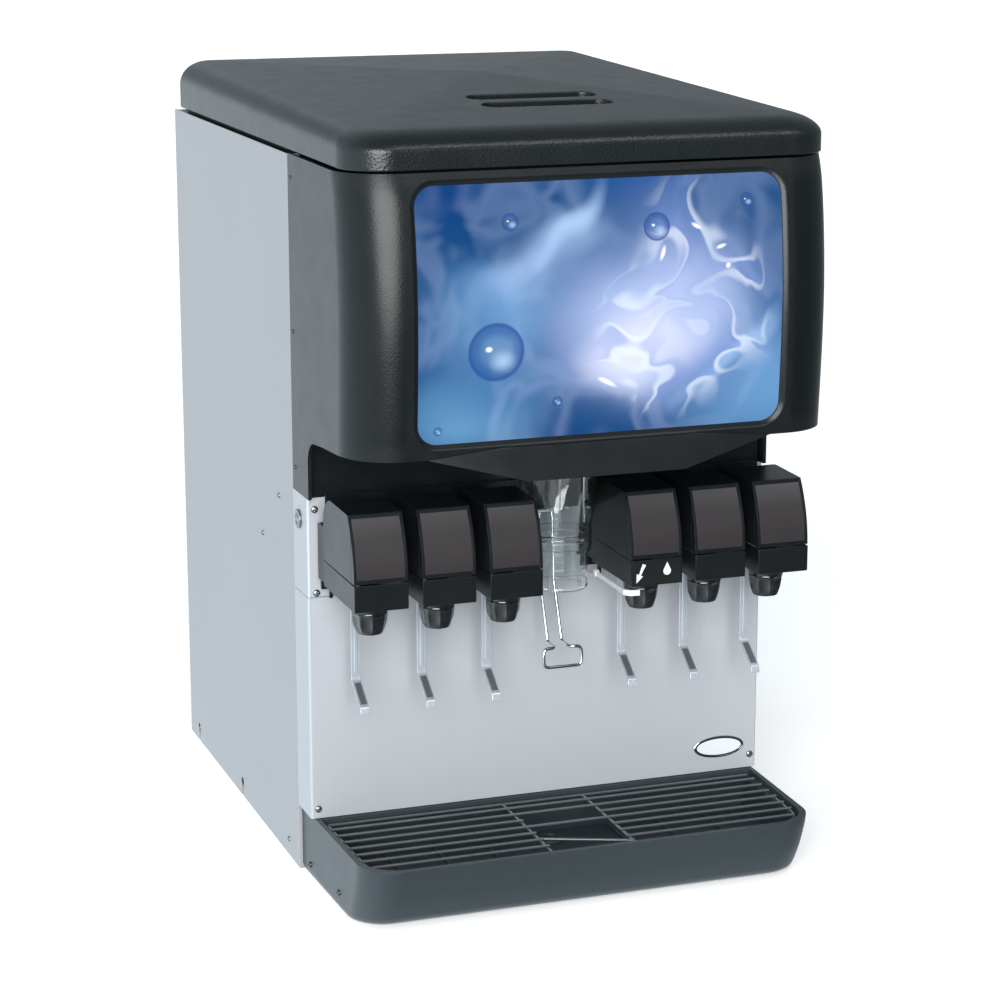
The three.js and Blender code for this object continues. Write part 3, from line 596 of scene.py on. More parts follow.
# Soft light in the water: colour, strength, then x, z, half-width, half-height and tilt of each ellipse
LIGHT_PATCHES = [
    ((0.015, 0.08, 0.28), 1.0, (60, 835, 150, 60, 0)),
    ((0.07, 0.20, 0.42), 0.9, (-130, 640, 150, 120, 20)),
    ((0.16, 0.34, 0.60), 0.8, (-110, 700, 110, 60, -15)),
    ((0.14, 0.32, 0.58), 0.9, (190, 600, 130, 130, 0)),
    ((0.12, 0.30, 0.52), 0.9, (-150, 575, 140, 60, 0)),
    ((0.30, 0.42, 0.74), 0.9, (50, 690, 180, 150, 10)),
    ((0.50, 0.58, 0.86), 0.9, (55, 680, 130, 110, 0)),
    ((0.72, 0.74, 0.93), 1.0, (42, 650, 80, 56, -10)),
    ((0.40, 0.58, 0.84), 0.8, (-45, 775, 12, 85, 42)),
    ((0.36, 0.52, 0.82), 0.6, (-80, 745, 26, 110, 55)),
    ((0.36, 0.54, 0.82), 0.6, (150, 640, 16, 100, 48)),
    ((0.003, 0.045, 0.19), 0.9, (-195, 822, 135, 80, -20)),
]
# Round bubbles: x, z and radius
BUBBLES = [(-122, 648, 33), (-104, 784, 10), (62, 772, 16), (168, 796, 8), (-52, 590, 6), (-186, 566, 5)]
# Small glints: x, z, half-width, half-height and tilt
GLINTS = [
    (104, 768, 9, 3, 15), (128, 742, 8, 3.5, -10), (52, 752, 4, 7, 20), (18, 618, 12, 5, 30),
    (134, 716, 4, 4, 0),
]


def rippled(shader):
    """The place on the sheet, pushed about as if seen through moving water."""
    warp = shader.node("TexNoise", Vector=shader.place, Scale=7.0, Detail=1.0).outputs["Color"]
    centred = shader.node("VectorMath", {"operation": "SUBTRACT"}, i0=warp, i1=(0.5, 0.5, 0.5)).outputs[0]
    shift = shader.node("VectorMath", {"operation": "SCALE"}, i0=centred, Scale=0.10).outputs[0]
    return shader.node("VectorMath", {"operation": "ADD"}, i0=shader.place, i1=shift).outputs[0]


def folds_of_water(shader, tone, moved):
    """Curling crests with blue hollows behind them, inside one tilted ellipse."""
    away = spread(shader, moved, 90, 690, 105, 130, 8)
    band = shader.ramp(away, [(0.25, grey(0.3)), (0.60, grey(1)), (1.0, grey(0))], "EASE")
    folds = shader.node("TexNoise", Vector=moved, Scale=15.0, Detail=1.0, Distortion=1.2).outputs["Fac"]
    crest = [(0.40, grey(0)), (0.485, grey(0.5)), (0.505, grey(0.5)), (0.55, grey(0))]
    hollow = [(0.50, grey(0)), (0.55, grey(0.4)), (0.58, grey(0.4)), (0.68, grey(0))]
    pale = shader.math("MULTIPLY", shader.ramp(folds, crest, "EASE"), band)
    dark = shader.math("MULTIPLY", shader.ramp(folds, hollow, "EASE"), band)
    tone = shader.mix(dark, tone, rgba((0.16, 0.26, 0.62)))
    return shader.mix(pale, tone, rgba((0.84, 0.90, 1)))


def water_graphic(name):
    """A back-lit picture of clear water: a pale glow, soft currents, a curling crest and round bubbles."""
    shader = Shader(name)
    moved = rippled(shader)
    tone = rgba((0.006, 0.060, 0.20))
    for colour, strength, ellipse in LIGHT_PATCHES:
        tone = patch(shader, tone, moved, colour, strength, ellipse)
    currents = shader.node("TexNoise", Vector=moved, Scale=11.0, Detail=2.0, Distortion=0.5).outputs["Fac"]
    veil = shader.ramp(currents, [(0.42, grey(0)), (0.58, grey(0.15)), (0.74, grey(0))], "EASE")
    tone = shader.mix(veil, tone, rgba((0.50, 0.64, 0.92)))
    tone = folds_of_water(shader, tone, moved)
    for x, z, radius in BUBBLES:
        tone = bubble(shader, tone, shader.place, x, z, radius)
    for ellipse in GLINTS:
        tone = patch(shader, tone, moved, (1, 1, 1), 0.9, ellipse, 0.3)
    return shader.finish(
        Base_Color=shader.mix(0.8, tone, grey(0)),
        Roughness=shader.span(currents, 0.12, 0.2),
        Specular_IOR_Level=0.25,
        Emission_Color=tone,
        Emission_Strength=0.72,
    )


def gradient_panel(name):
    """A dark translucent insert, a little paler towards its top."""
    shader = Shader(name)
    height = shader.node("SeparateXYZ", Vector=shader.place).outputs["Z"]
    low, high = (VALVE_SEAM + 20) * MM, VALVE_TOP * MM
    rise = shader.node("MapRange", Value=height, From_Min=low, From_Max=high).outputs["Result"]
    shades = [(0.0, (0.016, 0.014, 0.015)), (0.5, (0.020, 0.018, 0.019)), (1.0, (0.045, 0.043, 0.044))]
    tone = shader.ramp(rise, shades)
    speck = shader.noise(400, 3)
    tone = shader.mix(shader.span(speck, 0, 0.15), tone, (0.04, 0.036, 0.038, 1))
    normal = shader.bump(speck, 0.02, 0.3)
    rough = shader.span(shader.noise(30, 3), 0.3, 0.42)
    return shader.finish(Base_Color=tone, Roughness=rough, Normal=normal, Specular_IOR_Level=0.3)


def make_metals():
    even, upright, level, strip = (1, 1, 1), (1, 1, 0.02), (0.05, 1, 1), (1, 1, 0.05)
    # Colour, roughness, stretch of the lines, brush and metallic
    metals = {
        # Painted light: the stainless is paler than its copy below, to make up for the overhang's shade on
        # the splash.
        "stainless": ((0.355, 0.376, 0.40), 0.46, upright, 0.05, 0.35),
        # Painted shade: a darker copy of the stainless for the side, back and base panels, which the left
        # light falls on strongly.
        "stainless_painted_darker": ((0.285, 0.288, 0.302), 0.46, upright, 0.05, 0.35),
        "screw_steel": ((0.20, 0.22, 0.23), 0.24, even, 0.05, 1.0),
        "lever_steel": ((0.45, 0.49, 0.53), 0.22, strip, 0.1, 0.55),
        # Painted shade: lever_shade is a darker copy of lever_steel, laid on the cup levers' slanted ends.
        "lever_shade": ((0.12, 0.135, 0.145), 0.3, strip, 0.1, 0.5),
        "chrome": ((0.52, 0.55, 0.57), 0.10, even, 0.03, 1.0),
        "reflector": ((0.82, 0.83, 0.84), 0.22, level, 0.05, 1.0),
    }
    return {name: sheet_metal(name, *values) for name, values in metals.items()}


def make_plastics():
    black = (0.003, 0.0045, 0.005)
    # Colour, roughness, size and depth of the grain in millimetres, wear and gloss
    plastics = {
        "black_plastic": (black, 0.30, 2.2, 0.08, 0.05, 0.25),
        "lid_plastic": ((0.004, 0.006, 0.0065), 0.30, 2.6, 0.26, 0.2, 0.38),
        "cover_plastic": (black, 0.30, 0, 0.02, 0.08, 0.25),
        "tray_plastic": ((0.020, 0.027, 0.031), 0.34, 0, 0.03, 0.35, 0.3),
        "gloss_black": ((0.004, 0.005, 0.006), 0.12, 0, 0.01, 0.1, 0.9),
        "white_plastic": ((0.43, 0.455, 0.465), 0.38, 0, 0.03, 0.35, 0.5),
        "coated_wire": ((0.035, 0.042, 0.046), 0.24, 0, 0.02, 0.5, 0.8),
    }
    return {name: moulded_plastic(name, *values) for name, values in plastics.items()}


def make_looks():
    others = {
        "clear_plastic": clear_plastic("clear_plastic"),
        "valve_insert": gradient_panel("valve_insert"),
        "cast_aluminium": cast_surface("cast_aluminium", (0.50, 0.51, 0.52), 0.5, 1.0, 320, 0.2),
        "graphic": water_graphic("graphic"),
        "lamp": lamp_glass("lamp"),
        "foam": cast_surface("foam", (0.78, 0.68, 0.42), 0.85, 0.0, 180, 0.8),
        "motor_paint": cast_surface("motor_paint", (0.03, 0.03, 0.033), 0.4, 0.0, 500, 0.05),
    }
    return {**make_metals(), **make_plastics(), **others}


# Fasteners


def screw_head(radius):
    """A pan head with a cross recess, its axis along +Z and its seat at z = 0."""
    height = radius * 0.62
    centre, sunk, rim = 0.001, -0.6, 0.25
    profile = [(centre, sunk), (radius, sunk), (radius, height * rim)]
    for angle in (0.3, 0.6, 0.9, 1.2):
        profile.append((radius * math.cos(angle), height * (rim + (1 - rim) * math.sin(angle))))
    profile.append((centre, height))
    head = lathe(profile, 0, 0, 24)
    arm = radius * 0.62
    wide = radius * 0.13
    deep = (height * 0.35, height + 1)
    cross = [block((-arm, arm), (-wide, wide), deep), block((-wide, wide), (-arm, arm), deep)]
    head = combine(head, cross)
    head.data.transform(Matrix.Translation(-at(0, 0, 0)))
    return head


def screws(name, body, spots, facing, radius=4.0, slot="chrome", look="screw_steel"):
    """One piece of pan-head screws at spots in millimetres, all facing the same way, turned at random."""
    model = screw_head(radius)
    work = bmesh.new()
    for spot in spots:
        mesh = model.data.copy()
        spin = Matrix.Rotation(random.uniform(0, math.tau), 4, "Z")
        aim = Vector(facing).to_track_quat("Z", "Y").to_matrix().to_4x4()
        mesh.transform(Matrix.Translation(at(*spot)) @ aim @ spin)
        work.from_mesh(mesh)
        bpy.data.meshes.remove(mesh)
    work.to_mesh(model.data)
    work.free()
    return dress(model, name, body, slot, 0.25, 2, look=LOOKS[look])


def make_fasteners():
    front = SPLASH_FRONT
    splash = [(-270, front, 445), (-269, front, 348), (270, front, 445), (269, front, 348)]
    splash += [(-271, front, 91), (271, front, 96)]
    screws("splash_screws", "root", splash, (0, -1, 0), 4.2)
    panel = [(62, 436), (139, 373), (45, 21)]
    surround = [(-4.5, 812), (-4.5, 640), (-4.5, 485)]
    tray, tray_half, tray_taper = [(-30, 15), (-137, 20)], 275.3, 0.03
    for label, side in (("left", -1), ("right", 1)):
        facing = (side, 0, 0)
        screws(f"{label}_panel_screws", "root", [(side * HALF, y, z) for y, z in panel], facing, 3.2)
        dark = [(side * (HALF - 0.1), y - 6, z) for y, z in surround]
        screws(f"{label}_surround_screws", "root", dark, facing, 2.6, "gloss_black", "gloss_black")
        low = [(side * (tray_half + (y - tray[0][0]) * tray_taper), y, z) for y, z in tray]
        screws(f"{label}_tray_screws", "root", low, facing, 3.6, "gloss_black", "gloss_black")
    edge, top = HALF - 12, 822
    rows = [100, 300, 500, 700, 820]
    back = [(side * edge, CABINET_BACK, z) for z in rows for side in (-1, 1)]
    back += [(x, CABINET_BACK, top) for x in (-130, 0, 130)]
    screws("back_screws", "root", back, (0, 1, 0), 4.0)


# Cabinet and splash


def make_cabinet():
    # The side, back and base panels take the darker copy of the stainless: painted shade.
    for node in ("left_side_panel", "right_side_panel", "back_panel", "base_pan"):
        refined(node, 0.5, look=LOOKS["stainless_painted_darker"])
    for node in ("lower_splash", "upper_splash"):
        refined(node, 0.4)
    refined("power_gland", 0.6)


def make_rim_seal_and_shade():
    """A dark seal between the foam and the hopper rim's underside, also painted shade over the pale foam in
    the gap under the lid.
    """
    foam_top, rim_underside, wide = 822, 839, 8.5
    half, front, back, corner = 270.5, 8.5, 539.5, 32
    seal = prism(rounded_box(-half, half, front, back, corner), foam_top + 1, rim_underside - 0.2)
    half, front, back, corner = half - wide, front + wide, back - wide, corner - wide + 0.5
    bore = prism(rounded_box(-half, half, front, back, corner), foam_top - 2, rim_underside + 3)
    dress(combine(seal, [bore]), "hopper_rim_seal_and_shade", "root", "black_plastic", 0.6, 2)


def make_badge():
    """A blank oval badge near the foot of the splash: a pale plate inside a dark ring with a bright rim."""
    x, z = 230, 110

    def ring(half_width, half_height, proud):
        oval = [(half_width * u, half_height * v) for u, v in circle(0, 0, 1)]
        return [(x + u, SPLASH_FRONT - proud, z + v) for u, v in oval]

    rim = loft([ring(32.5, 13.5, 0), ring(32.5, 13.5, 1.0), ring(31.6, 12.6, 1.5)])
    bore = loft([ring(30.6, 11.6, 0.6), ring(30.6, 11.6, 3)])
    dress(combine(rim, [bore]), "badge_rim", "root", "chrome", 0.2, 2)
    band = loft([ring(30.5, 11.5, 0.2), ring(30.5, 11.5, 0.9)])
    dress(band, "badge_band", "root", "gloss_black", 0.1, 2)
    plate = loft([ring(28.9, 10.1, 0.5), ring(28.9, 10.1, 1.3), ring(28.4, 9.6, 1.6)])
    dress(plate, "badge_plate", "root", "white_plastic", 0.15, 2)


# Merchandiser surround and its lit graphic


def smooth_through(points, value):
    """The height of a smooth line through (position, height) points, listed in rising order."""
    index = max(1, min(len(points) - 1, sum(position < value for position, _ in points)))
    (x0, y0), (x1, y1) = points[index - 1], points[index]
    before = points[index - 2] if index > 1 else (x0, y0)
    after = points[index + 1] if index < len(points) - 1 else (x1, y1)
    slope0 = (y1 - before[1]) / (x1 - before[0])
    slope1 = (after[1] - y0) / (after[0] - x0)
    t = (value - x0) / (x1 - x0)
    run = x1 - x0
    return (
        (1 + 2 * t) * (1 - t) ** 2 * y0
        + t * (1 - t) ** 2 * run * slope0
        + t * t * (3 - 2 * t) * y1
        + t * t * (t - 1) * run * slope1
    )


def surround_ring(z, inset, back):
    radius = FRAME_CORNER - inset
    half = HALF - inset
    front = smooth_through(BULGE, min(max(z, SPLASH_TOP), FRAME_TOP)) + inset
    right = arc(half - radius, front + radius, radius, -90, 0, 16) + [(half, back)]
    left = [(-x, y) for x, y in reversed(right)]
    return [(x, y, z) for x, y in left + right]


def surround_body(inset, back, low, high):
    steps = 30
    return loft([surround_ring(low + (high - low) * i / steps, inset, back) for i in range(steps + 1)])


def chin():
    """The faceted chin in the middle of the surround's lower edge."""
    top, ledge, foot, rear = 547, 534, 509, -215
    narrow, wide = 90, 198
    half = [
        (narrow + 2, -248.5, top), (110, -255, ledge), (narrow, -262, foot),
        (wide, -245, FRAME_LIP), (narrow + 2, -230, top), (narrow, rear, foot),
        (wide, rear, FRAME_LIP), (narrow, rear, top),
    ]
    shape = build("chin", [*half, *[(-x, y, z) for x, y, z in half]], [])
    work = bmesh.new()
    work.from_mesh(shape.data)
    bmesh.ops.convex_hull(work, input=work.verts)
    bmesh.ops.dissolve_limit(work, angle_limit=math.radians(1), verts=work.verts, edges=work.edges)
    bmesh.ops.recalc_face_normals(work, faces=work.faces)
    work.to_mesh(shape.data)
    work.free()
    return shape


def divided(outline, longest):
    """A closed outline with its long sides cut into steps."""
    points = []
    for start, end in zip(outline, outline[1:] + outline[:1]):
        steps = max(1, math.ceil(math.dist(start, end) / longest))
        points += [tuple(a + (b - a) * i / steps for a, b in zip(start, end)) for i in range(steps)]
    return points


def window_ring(behind, flare):
    """The window's outline, a distance behind the bulged face."""
    half, corner = WINDOW["half"] + flare, WINDOW["corner"] + flare
    outline = rounded_box(-half, half, WINDOW["low"] - flare, WINDOW["high"] + flare, corner)
    return [(x, smooth_through(BULGE, z) + behind, z) for x, z in divided(outline, 12)]


def make_surround():
    """A shell open at its top, bottom and back, with a chin below and a flared window in front."""
    leg_front, shoulder, below, beyond = -64, 28, 440, 300
    beneath = [
        (leg_front, below),
        *arc(leg_front - shoulder, 500, shoulder, 0, 78, 10),
        (-120, 531),
        (-196, FRAME_LIP),
        (-beyond, FRAME_LIP),
        (-beyond, below),
    ]
    body = surround_body(0, -SEAT, SPLASH_TOP, FRAME_TOP)
    hollow = surround_body(FRAME_WALL, 10, SPLASH_TOP - 2, FRAME_TOP + 2)
    combine(body, [hollow, prism(beneath, -beyond, beyond, "x")])
    combine(body, [chin()], "UNION")
    chin_hollow = block((-86, 86), (-244, -205), (513, 545))
    # The rings of the window: how far each lies behind the face, and how far it flares out
    flares = [(-30, 9), (-0.6, 6.6), (1.2, 5), (2.2, 3), (3, 0.8), (4, 0), (40, 0)]
    window = loft([window_ring(y, flare) for y, flare in flares])
    combine(body, [chin_hollow, window])
    dress(body, "merchandiser_surround", "root", "black_plastic", 1.6, 4, ("merchandiser_frame",))


def make_graphic():
    recess, thick, half = FRAME_WALL + SEAT, 2.5, 216
    low, high, steps = 543.5, 832.5, 32
    levels = [low + (high - low) * i / steps for i in range(steps + 1)]
    front = [(smooth_through(BULGE, z) + recess, z) for z in levels]
    back = [(y + thick, z) for y, z in reversed(front)]
    sheet = prism(front + back, -half, half, "x")
    dress(sheet, "graphic_sheet", "root", "graphic", 0.4, 2, ("graphic_panel",))


# Drip tray and cup rest


def tray_ring(front, inset, z, back=-SEAT):
    radius = TRAY_CORNER - inset / 2
    front_half, back_half = 271 - inset, 276 - inset
    right = arc(front_half - radius, front + radius, radius, -90, 0, 16) + [(back_half, back)]
    left = [(-x, y) for x, y in reversed(right)]
    return [(x, y, z) for x, y in left + right]


def tray_outside():
    """The tray's leaning front and sides, drawn in a little at the foot."""
    lean = [(0, -198), (7, -212), (20, -222), (40, -233.5), (60, -242), (71, -246), (TRAY_TOP, -247)]
    heights = [0, 2, 4.5, 7, 11, 15, 20, 26, 33, 40, 47, 54, 60, 66, 71, 75, TRAY_TOP]
    rings = []
    for z in heights:
        inset = max(0, 3 - z * 0.4) if z < 8 else 0.3
        rings.append(tray_ring(smooth_through(lean, z), inset, z))
    return loft(rings)


def make_tray():
    recess_back, well_back, floor, underside = -58, -62, 34, 29
    recess = loft([tray_ring(-240, 7, z, recess_back) for z in (LEDGE, TRAY_TOP + 2)])
    well = loft([tray_ring(-215, 20, floor, well_back), tray_ring(-232, 13, LEDGE + 1, well_back)])
    below = loft([tray_ring(-188, 12, -2, -40), tray_ring(-206, 10, underside, -40)])
    pocket = block((-262, 262), (-45, 3), (-2, 72))
    drain = prism(circle(0, DRAIN_Y, 14.3), 20, 50)
    tray = combine(tray_outside(), [recess, well, below, pocket, drain])
    dress(tray, "drip_tray_moulding", "root", "tray_plastic", 1.4, 4, ("drip_tray",))
    ribs = [block((x - 1, x + 1), (-205, -66), (floor, floor + 4)) for x in (-200, -140, -80, 80, 140, 200)]
    dress(merge(ribs), "tray_floor_ribs", "root", "tray_plastic", 0.5, 2)
    make_strainer_seat(floor + SEAT)


def make_strainer_seat(seat):
    """The drain's tube, with a flange that rests on the tray's floor."""
    bore, tube, flange, foot, top = 9, 14, 18, 8, 37
    profile = [
        (bore, foot), (tube - 2, foot), (tube, foot + 6), (tube, seat), (flange, seat),
        (flange, top - 0.6), (flange - 0.8, top), (bore + 1, top), (bore, top - 1),
    ]
    fitting = lathe(profile, 0, DRAIN_Y, 48, closed=True)
    dress(fitting, "drain_strainer_seat", "root", "tray_plastic", 0.3, 2, ("drain_fitting",))


def rest_side(y):
    """Half-width of the cup rest's side wire, which leans in towards the front."""
    back, front, half, taper = -64, -235.5, 263, 4
    return half - taper * ((back - y) / (back - front))


def make_cup_rest():
    """A frame of thick wire with two dividers. Thin wires lie across it, with a gap in the middle."""
    axis_z = LEDGE + 2.4
    back, front, divider = -64, -235.5, 50
    thick, thin, lift, pitch, bend, corner_x = 2, 1.7, 2.6, 21.5, 38, 221
    corner = arc(corner_x, front + bend, bend, 0, -90, 14)
    half = [(rest_side(back), back), (rest_side(-150), -150), *corner]
    frame_wire = [(x, y, axis_z) for x, y in half] + [(-x, y, axis_z) for x, y in reversed(half)]
    wires = [sweep(fillet([*frame_wire, frame_wire[0]], 4, 3)[1:], thick)]
    wires.append(sweep([(-rest_side(back), back, axis_z), (rest_side(back), back, axis_z)], thick))
    for x in (-divider, divider):
        wires.append(sweep([(x, back, axis_z), (x, front, axis_z)], thick))
    wires.append(sweep([(-divider, -184, axis_z), (divider, -224, axis_z)], thin))
    whole = (1, 2, 4)
    for i in range(1, 8):
        y = back - i * pitch
        past = max(0, front + bend - y)
        reach = corner_x + math.sqrt(bend**2 - past**2) if past else rest_side(y) + 1
        spans = [(-reach, reach)] if i in whole else [(-reach, 2 - divider), (divider - 2, reach)]
        wires += [sweep([(x0, y, axis_z + lift), (x1, y, axis_z + lift)], thin) for x0, x1 in spans]
    dress(merge(wires), "cup_rest_wires", body_of("cup_rest"), "coated_wire", stands_for=("cup_rest",))


# Drink valves


def cover_front(inset, steps=18):
    """Side outline of a cover's curved front, from the seam up to the top edge."""
    start = (-202.6 + inset, VALVE_SEAM + 1)
    bend = (-202 + inset, 432)
    end = (-180 + inset, VALVE_TOP - 1 - inset)
    points = []
    for i in range(steps + 1):
        t = i / steps
        near, middle, far = (1 - t) ** 2, 2 * t * (1 - t), t * t
        points.append(tuple(near * a + middle * b + far * c for a, b, c in zip(start, bend, end)))
    return points


def cover_rear(inset):
    """Side outline of a cover's round upper rear corner, from the top down."""
    radius = COVER_REAR_RADIUS
    return arc(COVER_REAR - radius, VALVE_TOP - radius, radius - inset, 90, 0, 12)


def make_cover(number, low, high):
    """The cover's upper moulding, with a seat for its insert and a joint line down each side."""
    wall, margin, past = COVER_WALL, 3, -215
    upper = prism([(COVER_REAR, VALVE_SEAM + 0.5), *cover_front(0), *cover_rear(0)], low, high, "x")
    hollow = [(0, VALVE_SEAM - 4), (-200, VALVE_SEAM - 4), *cover_front(wall)[1:], *cover_rear(wall)]
    hollow.append((0, cover_rear(wall)[-1][1]))
    foot, head = VALVE_SEAM + 1.6, VALVE_TOP - 2.1
    seat = [(past, foot), (-201.6, foot), *cover_front(1.3)[1:-1], (-180.4, head), (past, head)]
    hollow = prism(hollow, low + wall, high - wall, "x")
    combine(upper, [hollow, prism(seat, low + margin, high - margin, "x")])
    joint = (-191.8, -191.0)
    rise = (VALVE_SEAM - 3, VALVE_TOP - 6)
    combine(upper, [block((edge - 0.4, edge + 0.4), joint, rise) for edge in (low, high)])
    dress(upper, f"valve_{number}_cover", "root", "cover_plastic", 0.6, 3, (f"valve_cover_{number}",))


def make_skirt(number, low, high):
    """The band round the cover's foot, below the seam."""
    wall = COVER_WALL
    skirt = block((low, high), (VALVE_FRONT, COVER_REAR), (VALVE_BOTTOM, VALVE_SEAM - 0.4))
    inside = (VALVE_FRONT + wall, 0)
    combine(skirt, [block((low + wall, high - wall), inside, (VALVE_BOTTOM - 3, VALVE_SEAM + 3))])
    dress(skirt, f"valve_{number}_skirt", "root", "cover_plastic", 0.8, 3)


def make_insert(number, low, high):
    """The dark translucent sheet set into the cover's curved front."""
    face, thick = cover_front(0.5)[1:-1], 0.9
    outline = [*face, *[(y + thick, z) for y, z in reversed(face)]]
    sheet = prism(outline, low + INSERT_MARGIN, high - INSERT_MARGIN, "x")
    dress(sheet, f"valve_{number}_insert", "root", "cover_plastic", 0.2, 2, look=LOOKS["valve_insert"])


def make_mount(number, low, high):
    """The dark mount behind a cover: cheeks out to the cover's width, and two catches under it."""
    low, high = low + 0.6, high - 0.6
    thick, foot = 2.2, VALVE_BOTTOM + 3
    reach = (COVER_REAR + 0.4, MOUNT_REAR - 0.2)
    cheeks = [block((a, a + thick), reach, (foot, MOUNT_TOP)) for a in (low, high - thick)]
    centre, half = (low + high) / 2, 27
    plate = block((centre - half, centre + half), (-61.5, MOUNT_REAR), (356, MOUNT_TOP))
    hook = [(-97, foot - 1), (-90, foot - 1), (-90, 352), (-94, 352)]
    catches = [prism(hook, edge, edge + 4, "x") for edge in (low + 3, high - 7)]
    mount = merge([*cheeks, plate, *catches])
    dress(mount, f"valve_{number}_mount_cheeks", "root", "cover_plastic", 0.6, 2)


def nozzle_shape(radius, angle, z):
    """Eight flutes between narrow ribs, fading out at the collar and the mouth."""
    mouth, collar, bore = 329.5, 352, 12.5
    deep, proud = 3.6, 1.0
    if radius < bore:
        return radius
    share = min(1, max(0, (z - mouth) / 4)) * min(1, max(0, (collar - z) / 3))
    wave = abs(math.sin(4 * angle + 0.4))
    return radius - share * (deep * wave**0.5 - proud)


def make_nozzle(number, x):
    # Radius and height, from the mouth up the outside to the collar, and back down the bore
    profile = [
        (11.5, 328.0), (12.8, 327.6), (14.2, 328.1), (15.4, 330), (16.9, 333), (18.4, 337),
        (19.4, 341.5), (19.9, 346), (20, 350), (20, 351.5), (19.2, 352.2), (19.2, 353),
        (20, 353.6), (20, 363.4), (17.5, 363.6), (17.5, 351),
    ]
    shape = lathe(profile, x, NOZZLE_Y, 96, closed=True, shape=nozzle_shape)
    node = f"nozzle_{number}"
    dress(shape, f"nozzle_{number}_fluted", body_of(node), "gloss_black", stands_for=(node,), sharp=40)


def ribbon(path, width, thick, x):
    """A flat strip, wide across x, along a path of (y, z) points."""
    path = fillet([(0, y, z) for y, z in path], 7, 8)
    front, back = [], []
    for i, point in enumerate(path):
        ahead = (path[min(i + 1, len(path) - 1)] - path[max(i - 1, 0)]).normalized()
        normal = Vector((0, ahead.z, -ahead.y)) * thick / 2
        front.append(tuple((point + normal).yz))
        back.append(tuple((point - normal).yz))
    return prism(front + back[::-1], x - width / 2, x + width / 2, "x")


def make_cup_lever(number, x):
    """A bent strip with a pressed rib, hung by an eye on its pin. A darker copy of its steel on the slanted
    end is painted shade.
    """
    node = f"cup_lever_{number}"
    y, z = CUP_LEVER_PIVOT
    strip = ribbon([(y - 0.8, z), (-101.2, 257), (-135, 233), (-136.6, 226)], 10.6, 1.6, x)
    rib = ribbon([(-102, 350), (-102.2, 266)], 3.8, 1.5, x)
    eye = sweep([(x - 8.5, y, z), (x + 8.5, y, z)], 4, 24)
    pin = sweep([(x - 13, y, z), (x + 13, y, z)], 2, 16)
    dress(merge([strip, rib, eye, pin]), f"{node}_strip", body_of(node), "lever_steel", 0.4, 2, (node,))
    # A strip of the darker lever steel on the slanted end: painted shade.
    painted_shade_strip = ribbon([(-106.8, 254.4), (-131.6, 236.8)], 7, 1.2, x)
    dress(painted_shade_strip, f"{node}_pad", body_of(node), "lever_steel", 0.3, 2, look=LOOKS["lever_shade"])


def make_splash_trim():
    """A dark trim strip along the splash's top edge, deeper behind the chute and cut away at the screws."""
    front, back = SPLASH_FRONT - 2.2, SPLASH_FRONT - 0.4
    low, deep, high = 438, 424, SPLASH_TOP + 3
    half, notch, end = 258, 452, 272
    bottom = [(-half, low), (-52, low), (-46, deep), (46, deep), (52, low), (half, low)]
    top = [(half, notch), (end, notch), (end, high), (-half, high)]
    dress(prism(bottom + top, front, back, "y"), "splash_trim", "root", "black_plastic", 0.5, 2)


def make_valves():
    for number, x in enumerate(VALVES, 1):
        low, high = x - VALVE_HALF, x + VALVE_HALF
        make_cover(number, low, high)
        make_skirt(number, low, high)
        make_insert(number, low, high)
        make_mount(number, low, high)
        make_nozzle(number, x)
        make_cup_lever(number, x)


def make_water_label():
    """A plate on the water valve's skirt with an arrow towards the lever and a drop, both plain white."""
    x, face = VALVES[3], VALVE_FRONT
    rise = (VALVE_BOTTOM + 2, VALVE_SEAM - 2.4)
    plate = block((x - 28, x + 28), (face - 0.5, face + 0.1), rise)
    dress(plate, "water_label_plate", "root", "cover_plastic", 0.3, 2)
    shaft, head, neck, tip = 2.2, 4.2, 1.2, 12
    arrow = [(-shaft, 11), (shaft, 11), (neck, -2), (head, -2), (0, -tip), (-head, -2), (-neck, -2)]
    lean, middle = math.radians(-24), (VALVE_BOTTOM + VALVE_SEAM) / 2
    cos, sin = math.cos(lean), math.sin(lean)
    turned = [(x - 20 + u * cos - v * sin, middle + u * sin + v * cos) for u, v in arrow]
    drop = [(x + 12, 390), *arc(x + 12, 379.5, 4.6, 25, -205, 18)]
    marks = merge([prism(outline, face - 0.8, face - 0.45, "y") for outline in (turned, drop)])
    dress(marks, "water_label_marks", "root", "white_plastic", 0.1, 1)
    refined("water_lever", 0.6)


# Ice chute and its lever


def chute_drop(inset, top):
    """The housing's upright part: round-cornered square at the top, nearly round at the bottom."""
    # Half-width, corner radius and height of each level
    levels = [(37.6, 37.5, 412), (37.8, 37.6, 424), (39, 31, 440), (39.8, 23, 462), (40, 22, top)]
    rings = []
    for half, radius, z in levels:
        half, radius = half - inset, radius - inset
        rings.append([(x, CHUTE_Y + y, z) for x, y in rounded_box(-half, half, -half, half, radius, 10)])
    return loft(rings)


def make_chute():
    make_chute_housing()
    make_chute_collar()
    make_ice_tube()
    front = CHUTE_Y - 40
    ribs = [block((x - 0.8, x + 0.8), (front - 1.6, front - 0.1), (430, 570)) for x in (-14, 15)]
    dress(merge(ribs), "chute_front_ribs", "root", "clear_plastic", 0.3, 2)


def make_chute_housing():
    half, wall = 40, CHUTE_WALL
    floor, roof = DUCT
    shell = chute_drop(0, roof)
    combine(shell, [block((-half, half), (CHUTE_Y, 64), DUCT)], "UNION")
    hollow = chute_drop(wall, roof - wall)
    passage = block((wall - half, half - wall), (CHUTE_Y, 70), (floor + wall, roof - wall))
    mouth = prism(circle(0, CHUTE_Y, 34.2), 405, 418)
    combine(shell, [hollow, passage, mouth])
    dress(shell, "chute_housing_clear", "root", "clear_plastic", 0.8, 3, ("chute_housing",))


